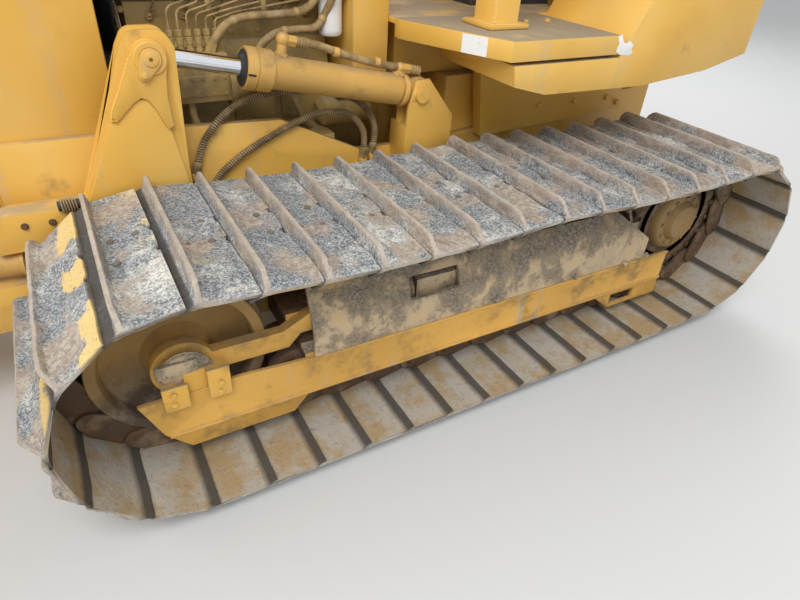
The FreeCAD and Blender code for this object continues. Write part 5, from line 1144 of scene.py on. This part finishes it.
# Cap: radius = r * cos(t), height = rise * sin(t)
def addUndercarriageTrim(side):
    sign = sides[side]
    middle = sign * sideY
    heap = Heap()
    outward = (0, sign, 0)
    reach, rise = undercarriage["capRadius"], undercarriage["capRise"]
    dome = [(rise * math.sin(angle), reach * math.cos(angle))
            for angle in np.linspace(0, 1.45, 7)]
    for face in (undercarriage["housingY"] - 0.001, -undercarriage["housingY"] + 0.001):
        out = np.sign(face)
        turnedForm(heap, (track["idlerX"], middle + sign * face, axleZ),
                   (0, sign * out, 0), [(0, reach + 0.006), (0.003, reach + 0.006)] + dome, 32, 2)
    for low, high, rise, slot in (
            ((0.545, 0.137, 0.398), (0.655, 0.152, 0.44), 0.004, 2),
            ((0.528, 0.137, 0.33), (0.59, 0.15, 0.402), 0.003, 0),
            ((0.583, 0.16, 0.296), (0.652, 0.17, 0.378), 0.006, 0),
            ((0.468, 0.16, 0.3), (0.531, 0.17, 0.402), 0.006, 0)):
        ends = sorted((middle + sign * low[1], middle + sign * high[1]))
        chamferBox(heap, (low[0], ends[0], low[2]), (high[0], ends[1], high[2]), rise, slot)
    for x, z in undercarriage["guardBolts"]:
        boltForms(heap, [(x, middle + sign * 0.15, z)], outward, 0.015, 2)
    for x, z in undercarriage["blockBolts"]:
        boltForms(heap, [(x, middle + sign * 0.1695, z)], outward, 0.0125, 0)
    first, last = undercarriage["springX"]
    spots = [(x, middle + sign * 0.034, 0.42) for x in np.linspace(first, last, 4)]
    coilForm(heap, np.array(spots), undercarriage["springRadius"], undercarriage["springWire"],
             undercarriage["springPitch"], 2, 24, 8)
    for x in np.linspace(track["lastRollerX"], 0.12, 9):
        boltForms(heap, [(x, middle - sign * 0.15, 0.262)], (0, -sign, 0), 0.013, 1)
    heap.put(side + "_undercarriage_trim", side + "_track_frame",
             [paints["low"], rust, caked], 35)


for side in sides:
    addUndercarriageTrim(side)
print("undercarriage trimmed")


# Lift towers: the head plate with its arch, the pin's keeper and weld beads

towers = {
    "pinX": 0.459,
    "pinZ": 1.086,
    "plateY": 0.503,  # outer face of the tower's plate
    "headY": 0.522,  # outer face of the head plate
    "bead": 0.0042,
    "keeper": 0.046,  # from the pin's centre to the keeper's bolt
}
headEdge = ((0.508, 1.096), (0.545, 1.02), (0.585, 0.94), (0.572, 0.926), (0.52, 0.974),
            (0.5, 0.984), (0.484, 0.978), (0.47, 0.956), (0.442, 0.89), (0.425, 0.9),
            (0.43, 0.976), (0.424, 1.04), (0.412, 1.08), (0.416, 1.108), (0.434, 1.13),
            (0.459, 1.138), (0.484, 1.13), (0.5, 1.114))


# The keeper: a plate from the pin's centre to its bolt, round about both
def addTowerTrim(side):
    sign = sides[side]
    heap = Heap()
    face = sign * towers["headY"]
    low, high = sorted((sign * (towers["plateY"] - 0.001), face))
    plateForm(heap, headEdge[::-1], low, high, 0.002, 0)
    weldForm(heap, [(x, sign * (towers["plateY"] + 0.0145), z) for x, z in headEdge[:4]],
             towers["bead"])
    turnedForm(heap, (towers["pinX"], face - sign * 0.001, towers["pinZ"]), (0, sign, 0), [
        (0, 0.043), (0.005, 0.043), (0.007, 0.041), (0.007, 0.03), (0.005, 0.029)], 36, 0)
    lean = np.array((0.5, -0.866))
    across = np.array((-lean[1], lean[0]))
    keeper = []
    for angle in np.linspace(math.pi * 0.44, math.pi * 1.56, 15):
        keeper.append(0.028 * (lean * math.cos(angle) + across * math.sin(angle)))
    for angle in np.linspace(-math.pi * 0.44, math.pi * 0.44, 9):
        keeper.append(lean * towers["keeper"]
                      + 0.015 * (lean * math.cos(angle) + across * math.sin(angle)))
    keeper = [(towers["pinX"] + x, towers["pinZ"] + z) for x, z in keeper]
    low, high = sorted((face, face + sign * 0.013))
    plateForm(heap, keeper, low, high, 0.0015, 0)
    bolt = np.array((towers["pinX"], towers["pinZ"])) + lean * towers["keeper"]
    boltForms(heap, [(bolt[0], face + sign * 0.013, bolt[1])], (0, sign, 0), 0.0105, 0)
    turnedForm(heap, (towers["pinX"], face + sign * 0.012, towers["pinZ"]), (0, sign, 0),
               [(0, 0.019), (0.004, 0.019), (0.005, 0.017), (0.005, 0.006), (0.002, 0.005)], 24, 0)
    turnedForm(heap, (towers["pinX"], face + sign * 0.013, towers["pinZ"]), (0, sign, 0),
               [(0, 0.0035), (0.004, 0.0035), (0.005, 0.002)], 10, 1)
    for x, z in ((0.73, 0.655), (0.8, 0.655), (0.87, 0.655)):
        boltForms(heap, [(x, sign * 0.503, z)], (0, sign, 0), 0.011, 1)
    foot = [(0.405, 0.48), (0.5, 0.476), (0.6, 0.476), (0.7, 0.476), (0.78, 0.48)]
    weldForm(heap, [(x, sign * 0.5035, z) for x, z in foot], 0.005)
    rise = [(0.786, 0.486), (0.768, 0.53), (0.742, 0.59), (0.722, 0.65)]
    weldForm(heap, [(x, sign * 0.5035, z) for x, z in rise], 0.005)
    heap.put(side + "_tower_trim", "c_frame",
             [paints["clean"], rust], 40)


for side in sides:
    addTowerTrim(side)
print("towers trimmed")


# Cylinders: gland rings, wiper seals, and hoses along the barrels

# Rear pin, front pin, gland face from the rear pin, radii of gland, barrel and rod, the rear
# elbow's place and how far the hose lies outboard of the barrel's top
cylinders = {
    "left_lift": ((-0.425, 0.463, 0.91), (0.459, 0.463, 1.086), 0.632, 0.06, 0.052, 0.025,
                  0.088, 0.0),
    "right_lift": ((-0.425, -0.463, 0.91), (0.459, -0.463, 1.086), 0.632, 0.06, 0.052, 0.025,
                  0.088, 0.0),
    "left_angle": ((0.84, 0.468, 0.527), (1.64, 0.33, 0.527), 0.56, 0.05, 0.043, 0.02,
                   0.205, 0.5),
    "right_angle": ((0.84, -0.468, 0.527), (1.64, -0.33, 0.527), 0.56, 0.05, 0.043, 0.02,
                   0.205, 0.5),
}
glands = {
    "seal": 0.009,  # how far the wiper seal stands out
    "hose": 0.0125,
    "stand": 0.016,  # gap between hose and barrel
    "elbow": 0.021,
}


# An elbow: a stub square to the barrel with a ball at its top and a nut at its side
def elbowForm(heap, foot, up, along, tall, size):
    turnedForm(heap, foot, up, [(0, 0.024), (0.008, 0.024), (0.01, 0.019)], 6, 0)
    ball = [(tall - size * math.cos(angle), size * math.sin(angle))
            for angle in np.linspace(0.9, math.pi - 0.05, 10)]
    turnedForm(heap, foot, up, [(0.004, 0.0165), (tall - size * 0.6, 0.016)] + ball, 22, 0)
    top = foot + up * tall
    turnedForm(heap, top, along, [(0.008, 0.0175), (0.04, 0.0175), (0.042, 0.015)], 6, 0)
    for count in range(4):
        turnedForm(heap, top + along * (0.042 + 0.01 * count), along, [
            (0, 0.0135), (0.002, 0.0158), (0.007, 0.0158), (0.009, 0.0135)], 20, 1)


# Axis from the rear pin to the front one; up is square to it; places are measured along it
def addCylinderTrim(name, start, end, face, gland, barrel, rod, rearPlace, turned):
    start, end = np.array(start), np.array(end)
    axis = (end - start) / np.linalg.norm(end - start)
    up = np.array((0, 0, 1.0)) - axis * axis[2]
    up /= np.linalg.norm(up)
    side = np.cross(axis, up)
    heap = Heap()
    front = start + axis * face
    turnedForm(heap, front - axis * 0.002, axis, [
        (0, gland - 0.006), (0.004, gland - 0.007), (0.005, rod + 0.015),
        (glands["seal"], rod + 0.012), (glands["seal"] + 0.004, rod + 0.004),
        (glands["seal"] + 0.004, rod + 0.0015), (0, rod + 0.0015)], 36, 2)
    for along, wide in ((0.0, 0.046), (0.05, 0.03)):
        turnedForm(heap, front - axis * (0.082 - along), axis, [
            (-0.0015, gland - 0.002), (0, gland + 0.003), (wide, gland + 0.003),
            (wide + 0.002, gland - 0.002)], 40, 0)
    for angle in (0.4, 2.5, 4.6):
        out = math.cos(angle) * up + math.sin(angle) * side
        spot = front - axis * 0.012 + out * (gland + 0.001)
        turnedForm(heap, spot - axis * 0.012, axis, [(0, 0.004), (0.023, 0.004)], 8, 2)
    turnedForm(heap, start + axis * 0.056, axis, [
        (0, barrel - 0.002), (0.002, barrel + 0.003), (0.012, barrel + 0.003),
        (0.016, barrel - 0.002)], 36, 0)
    tall = glands["hose"] + glands["stand"] + 0.01
    up = math.cos(turned) * up - np.sign(start[1]) * math.sin(turned) * side
    fore = start + axis * (face - 0.115) + up * (barrel - 0.003)
    rear = start + axis * rearPlace + up * (barrel - 0.003)
    elbowForm(heap, fore, up, -axis, tall + 0.01, glands["elbow"])
    elbowForm(heap, rear, up, -axis, 0.024, 0.017)
    top, low = fore + up * (tall + 0.01), rear + up * 0.024
    spots = [top - axis * 0.04, top - axis * 0.11, (top + low) / 2 - up * 0.002,
             low + axis * 0.1, low + axis * 0.012]
    tubeForm(heap, smoothLine(spots, 10), glands["hose"], 18, 1)
    reach = np.linalg.norm(end - start)
    sleeve = Heap()
    turnedForm(sleeve, start, axis, [(face - 0.06, rod + 0.0004), (reach - 0.05, rod + 0.0004)],
               56, 0)
    sleeve.put(name + "_rod_chrome", name + "_rod", [chrome], 60)
    for share in (0.42, 0.78):
        clip = top + (low - top) * share
        tubeForm(heap, np.array([clip - axis * 0.009, clip + axis * 0.009]),
                 glands["hose"] + 0.0025, 18, 0)
    heap.put(name + "_barrel_trim", name + "_barrel",
             [paints["barrel"], tanHose, rubber], 40)


for name, values in cylinders.items():
    addCylinderTrim(name, *values)
print("cylinders trimmed")


# Fuel system: injection pump, six lines, filter with a white can

fuel = {
    "pumpX": 0.204,
    "step": 0.028,  # between the outlets
    "line": 0.0034,
    "bend": 0.3,  # part of the shorter run that a bend takes
    "canRadius": 0.04,
}


# Each line rises from its outlet, runs back over the head and drops to its injector
def addFuelSystem():
    heap = Heap()
    end = fuel["pumpX"] + 0.176
    chamferBox(heap, (fuel["pumpX"], 0.222, 0.905), (end, 0.35, 1.05), 0.006, 0)
    chamferBox(heap, (fuel["pumpX"] + 0.008, 0.344, 0.925), (end - 0.008, 0.356, 0.99), 0.004, 0)
    chamferBox(heap, (end - 0.001, 0.222, 0.88), (0.47, 0.33, 1.01), 0.008, 0)
    turnedForm(heap, (fuel["pumpX"] - 0.088, 0.296, 0.95), (1, 0, 0), [
        (0, 0.05), (0.004, 0.062), (0.012, 0.068), (0.07, 0.068), (0.072, 0.07),
        (0.09, 0.07)], 36, 0)
    for angle in np.linspace(0.4, 2 * math.pi + 0.4, 6, endpoint=False):
        boltForms(heap, [(fuel["pumpX"] - 0.08, 0.296 + 0.052 * math.cos(angle),
                        0.95 + 0.052 * math.sin(angle))], (-1, 0, 0), 0.0075, 0)
    for x in np.linspace(fuel["pumpX"] + 0.02, end - 0.02, 5):
        for z in (0.934, 0.981):
            boltForms(heap, [(x, 0.356, z)], (0, 1, 0), 0.0065, 0)
    for count in range(6):
        x = fuel["pumpX"] + 0.018 + fuel["step"] * count
        turnedForm(heap, (x, 0.3, 1.048), (0, 0, 1), [
            (0, 0.0125), (0.01, 0.0125), (0.011, 0.01), (0.024, 0.01), (0.025, 0.0118),
            (0.044, 0.0118), (0.046, 0.008), (0.052, 0.008)], 20, 0)
        turnedForm(heap, (x, 0.3, 1.097), (0, 0, 1), [
            (0, 0.0115), (0.016, 0.0115), (0.018, 0.007)], 6, 0)
        reach = -0.13 + 0.104 * count
        spots = np.array([(x, 0.3, 1.112), (x, 0.3, 1.14 + 0.0075 * count),
                          (x - 0.07, 0.296, 1.158 + 0.0075 * count),
                          (reach - 0.02, 0.262, 1.196 + 0.006 * count), (reach, 0.152, 1.128)])
        tubeForm(heap, evenly(routeLine(spots, fuel["bend"]), 0.01), fuel["line"], 10, 1)
        turnedForm(heap, (reach, 0.15, 1.124), (0, 0.83, 0.55), [
            (-0.002, 0.012), (0.012, 0.012), (0.014, 0.008), (0.024, 0.007)], 6, 0)
    for x, tilt in ((0.235, 0), (0.06, 0.01)):
        chamferBox(heap, (x - 0.008, 0.285, 1.15 + tilt), (x + 0.008, 0.291, 1.235 - tilt), 0.002)
    chamferBox(heap, (-0.218, 0.24, 1.206), (-0.118, 0.34, 1.236), 0.006, 0)
    wide = fuel["canRadius"]
    can = [(wide * 0.35, 1.0765), (wide * 0.85, 1.079), (wide * 0.98, 1.086), (wide, 1.1),
           (wide, 1.184), (wide * 1.04, 1.188), (wide * 1.04, 1.204), (wide * 0.9, 1.207)]
    turnedForm(heap, (-0.168, 0.292, 0), (0, 0, 1), [(z, radius) for radius, z in can], 40, 2)
    for place in (-0.205, -0.131):
        boltForms(heap, [(place, 0.325, 1.236)], (0, 0, 1), 0.009, 0)
    heap.put("fuel_system_model", "fuel_system",
             [paints["engine"], tanHose, blank], 40, True)


addFuelSystem()
print("fuel system built")


# Engine trim: hoses, clamps, covers, rows of bolts and the fan's wire guard

engineTrim = {
    "hose": 0.0125,
    "boltSize": 0.0105,
    "coverDepth": 0.01,
    "guardX": 0.4845,
    "guardRings": (0.07, 0.12, 0.17, 0.22, 0.27),
    "guardWire": 0.0022,
}
engineHoses = (
    ((0.25, 0.315, 1.05), (0.232, 0.325, 1.09), (0.19, 0.328, 1.132), (0.12, 0.326, 1.15),
     (0.03, 0.322, 1.152), (-0.06, 0.318, 1.162), (-0.11, 0.31, 1.2), (-0.125, 0.3, 1.3)),
    ((0.105, 0.32, 1.03), (0.08, 0.326, 1.072), (0.03, 0.328, 1.1), (-0.04, 0.326, 1.106),
     (-0.1, 0.322, 1.11), (-0.14, 0.316, 1.15), (-0.16, 0.35, 1.22), (-0.19, 0.345, 1.31)),
    ((0.33, 0.3, 0.9), (0.325, 0.32, 0.84), (0.3, 0.322, 0.78), (0.26, 0.3, 0.72)),
    ((0.02, 0.24, 0.99), (0.01, 0.3, 0.96), (-0.01, 0.32, 0.9), (-0.06, 0.3, 0.8),
     (-0.12, 0.25, 0.74)),
)


def addEngineTrim():
    heap = Heap()
    size = engineTrim["boltSize"]
    for route in engineHoses:
        line = smoothLine(route, 10)
        tubeForm(heap, line, engineTrim["hose"], 16, 1)
        for place in (len(line) // 3, 2 * len(line) // 3):
            along = (line[place + 1] - line[place - 1])
            along /= np.linalg.norm(along)
            tubeForm(heap, np.array([line[place] - along * 0.007, line[place] + along * 0.007]),
                     engineTrim["hose"] + 0.002, 16, 0)
        for place, onward in ((0, 1), (-1, -2)):
            along = line[onward] - line[place]
            turnedForm(heap, line[place], along, [
                (-0.006, 0.017), (0.016, 0.017), (0.018, 0.0155), (0.034, 0.0155)], 6, 0)
    for sign in (1, -1):
        for x in np.linspace(-0.15, 0.43, 7):
            boltForms(heap, [(x, sign * 0.15, 1.078)], (0, sign, 0), size, 0)
            boltForms(heap, [(x + 0.04, sign * 0.15, 1.15)], (0, sign, 0), size, 0)
            boltForms(heap, [(x, sign * 0.225, 0.775)], (0, sign, 0), size * 0.9, 0)
            boltForms(heap, [(x, sign * 0.225, 0.945)], (0, sign, 0), size * 0.9, 0)
        for x in (-0.15, 0.02):
            cover = sign * (0.225 + engineTrim["coverDepth"])
            chamferBox(heap, (x, sign * 0.222, 0.795), (x + 0.15, cover, 0.925), 0.004)
            for across in (0.018, 0.075, 0.132):
                for z in (0.812, 0.908):
                    boltForms(heap, [(x + across, cover, z)], (0, sign, 0), 0.0075, 0)
        for x in np.linspace(-0.12, 0.4, 6):
            boltForms(heap, [(x, sign * 0.078, 1.2505)], (0, sign * 0.68, 0.73), size, 0)
    for count in range(6):
        x = -0.12 + 0.104 * count
        for across in (-0.024, 0.024):
            boltForms(heap, [(x + across, -0.284, 1.116)], (0, -1, 0), 0.008, 0)
    turnedForm(heap, (-0.33, 0.262, 0.812), (1, 0, 0), [
        (0, 0.04), (0.004, 0.048), (0.05, 0.05), (0.052, 0.054), (0.19, 0.054),
        (0.194, 0.048), (0.21, 0.03)], 32, 0)
    turnedForm(heap, (-0.3, 0.285, 0.888), (1, 0, 0), [
        (0, 0.022), (0.003, 0.027), (0.11, 0.027), (0.113, 0.022)], 24, 0)
    turnedForm(heap, (0.02, 0.292, 0.99), (0, 0, 1), [
        (-0.055, 0.034), (-0.05, 0.04), (0.01, 0.04), (0.012, 0.043), (0.026, 0.043)], 32, 0)
    turnedForm(heap, (-0.06, 0.255, 0.965), (0, 1, 0), [
        (-0.05, 0.032), (0.01, 0.032), (0.012, 0.04), (0.022, 0.04), (0.024, 0.034)], 30, 0)
    rings = engineTrim["guardRings"]
    turn = np.linspace(0, 2 * math.pi, 61)
    for ring in rings:
        tubeForm(heap, np.stack([np.full(61, engineTrim["guardX"]), ring * np.cos(turn),
                                 0.96 + ring * np.sin(turn)], 1), engineTrim["guardWire"], 6, 2)
    for angle in np.linspace(0, 2 * math.pi, 14, endpoint=False):
        out = np.array((0, math.cos(angle), math.sin(angle)))
        tubeForm(heap, np.array([(engineTrim["guardX"], 0, 0.96)]) + np.outer(
            (rings[0], rings[-1]), out), engineTrim["guardWire"] * 1.2, 6, 2)
    heap.put("engine_trim", "engine_block",
             [paints["engine"], tanHose, coilSteel], 40)


addEngineTrim()
print("engine trimmed")


# Fixings on the hull: bolts, blank plates and the coil spring at the end of the front beam

fixings = {
    "bracketBolts": ((-1.05, 0.8), (-1.25, 0.8), (-1.445, 0.798), (-1.52, 0.77)),
    "bracketY": 0.44,
    "plateWide": 0.094,
    "coilX": (0.724, 0.768),
    "coilRadius": 0.019,
    "coilPlace": (0.503, 0.7),
}
tornEdge = ((-0.975, 1.095), (-0.982, 1.118), (-0.968, 1.142), (-0.985, 1.147), (-1.002, 1.122),
            (-1.018, 1.118), (-1.03, 1.126), (-1.052, 1.112), (-1.046, 1.098), (-1.06, 1.085),
            (-1.04, 1.078), (-1.012, 1.082), (-0.992, 1.084))


# The blank plate lies on the platform's slanted end: from (x, y) = A to B, at share t of it
def addFixings():
    heap = Heap()
    for sign in (1, -1):
        for x, z in fixings["bracketBolts"]:
            boltForms(heap, [(x, sign * fixings["bracketY"], z)], (0, sign, 0), 0.016, 0)
        for x in (-0.6, -0.7, -0.8, -0.9):
            boltForms(heap, [(x, sign * 0.56, 1.145)], (0, 0, 1), 0.012, 0)
        start, end = np.array((-0.361, sign * 0.445)), np.array((-0.528, sign * 0.837))
        along = (end - start) / np.linalg.norm(end - start)
        out = np.array((-along[1], along[0])) * -sign
        spot = start + along * 0.29 + out * 0.0008
        half = fixings["plateWide"] / 2
        corners = [(spot + along * share, height) for share, height in (
            (-half, 1.086), (half, 1.086), (half, 1.142), (-half, 1.142))]
        flat = [(x, y, z) for (x, y), z in corners]
        thick = [(x + out[0] * 0.0006, y + out[1] * 0.0006, z) for x, y, z in flat]
        faces = [(4, 5, 6, 7), (0, 1, 5, 4), (1, 2, 6, 5), (2, 3, 7, 6), (3, 0, 4, 7), (3, 2, 1, 0)]
        if sign < 0:
            faces = [face[::-1] for face in faces]
        heap.take(flat + thick, faces, 0.0, 1)
        low, high = sorted((sign * 0.8365, sign * 0.8378))
        plateForm(heap, tornEdge[::-1], low, high, 0.0001, 1)
        y, z = sign * fixings["coilPlace"][0], fixings["coilPlace"][1]
        first, last = fixings["coilX"]
        coilForm(heap, np.array([(first, y, z), ((first + last) / 2, y, z), (last, y, z)]),
                 fixings["coilRadius"], 0.0024, 0.0072, 2, 20, 6)
        turnedForm(heap, (first - 0.006, y, z), (1, 0, 0), [(0, 0.014), (0.058, 0.014)], 16, 3)
    heap.put("hull_fixings", "main_frame",
             [paints["working"], blank, coilSteel, rubber], 40)


addFixings()
print("fixings added")


# Seat: upholstered forms, each with piping round its crown

seat = {
    "cushion": ((-1.215, -0.25, 1.4003), (-0.725, 0.25, 1.52)),
    "backrest": ((-1.3397, -0.25, 1.521), (-1.2197, 0.25, 2.08)),
    "welt": 0.0055,
}


# A rounded pad: |x/a|^p + |y/b|^p + |z/c|^p = 1 with p = 7
def padForm(heap, low, high, rows=36, around=72, power=7.0):
    low, high = np.array(low), np.array(high)
    middle, half = (low + high) / 2, (high - low) / 2
    up = np.linspace(-math.pi / 2, math.pi / 2, rows)[:, None]
    turn = np.linspace(0, 2 * math.pi, around, endpoint=False)[None, :]

    def signed(value):
        return np.sign(value) * np.abs(value) ** (2 / power)

    points = np.stack([signed(np.cos(up)) * signed(np.cos(turn)),
                       signed(np.cos(up)) * signed(np.sin(turn)),
                       signed(np.sin(up)) * np.ones_like(turn)], 2)
    heap.take(middle + points * half, tubeFaces(rows, around), 0.0, 0)


def addSeat(name, thin):
    low, high = (np.array(corner) for corner in seat[name])
    heap = Heap()
    padForm(heap, low, high)
    middle, half = (low + high) / 2, (high - low) / 2
    wide = [axis for axis in range(3) if axis != thin]
    for level in (-0.72, 0.72):
        loop = []
        for angle in np.linspace(0, 2 * math.pi, 73):
            spot = np.array(middle)
            for axis, value in zip(wide, (math.cos(angle), math.sin(angle))):
                spot[axis] += half[axis] * 0.985 * np.sign(value) * abs(value) ** 0.22
            spot[thin] += half[thin] * level
            loop.append(spot)
        tubeForm(heap, np.array(loop), seat["welt"], 8, 1)
    piece = heap.put("padded_seat_" + name, "seat_" + name,
             [vinyl, black], 60, True)


addSeat("cushion", 2)
addSeat("backrest", 0)
print("seat upholstered")


# Lamps' glasses and the levers' knobs

fittings = {
    "lampRadius": 0.055,
    "lampPlaces": ((-0.42, 1), (-1.8, -1)),
    "lampY": 0.61,
    "lampZ": 2.54,
    "leverTops": ((-1.23, 0.47, 1.594), (-1.29, 0.51, 1.564), (-1.23, -0.47, 1.634),
                  (-1.29, -0.51, 1.574)),
}


# Lamp glass: a shallow cap, radius = r * cos(t), height = 0.006 * sin(t)
def addFittings():
    heap = Heap()
    for x, ahead in fittings["lampPlaces"]:
        for sign in (1, -1):
            rim = fittings["lampRadius"]
            spot = (x - ahead * 0.004, sign * fittings["lampY"], fittings["lampZ"])
            cap = [(0.004 * math.sin(angle), (rim - 0.006) * math.cos(angle))
                   for angle in np.linspace(0, 1.5, 6)]
            turnedForm(heap, spot, (ahead, 0, 0), [(0, rim - 0.006)] + cap[1:], 32, 0)
    heap.put("lamp_glasses", "lamps",
             [lens], 60)
    heap = Heap()
    for x, y, z in fittings["leverTops"]:
        rise = [(0.03 - 0.027 * math.cos(angle), 0.0215 * math.sin(angle) ** 0.8 + 0.001)
                for angle in np.linspace(0.15, math.pi - 0.1, 12)]
        turnedForm(heap, (x, y, z - 0.004), (0, 0, 1), rise, 24, 0)
        rings = [(0, 0.016), (0.004, 0.019), (0.008, 0.016), (0.012, 0.019), (0.016, 0.015)]
        turnedForm(heap, (x, y, z - 0.166 + 0.002), (0, 0, 1), rings, 20, 0)
    heap.put("lever_knobs", "levers",
             [rubber], 60)


addFittings()
print("lamps and levers fitted")
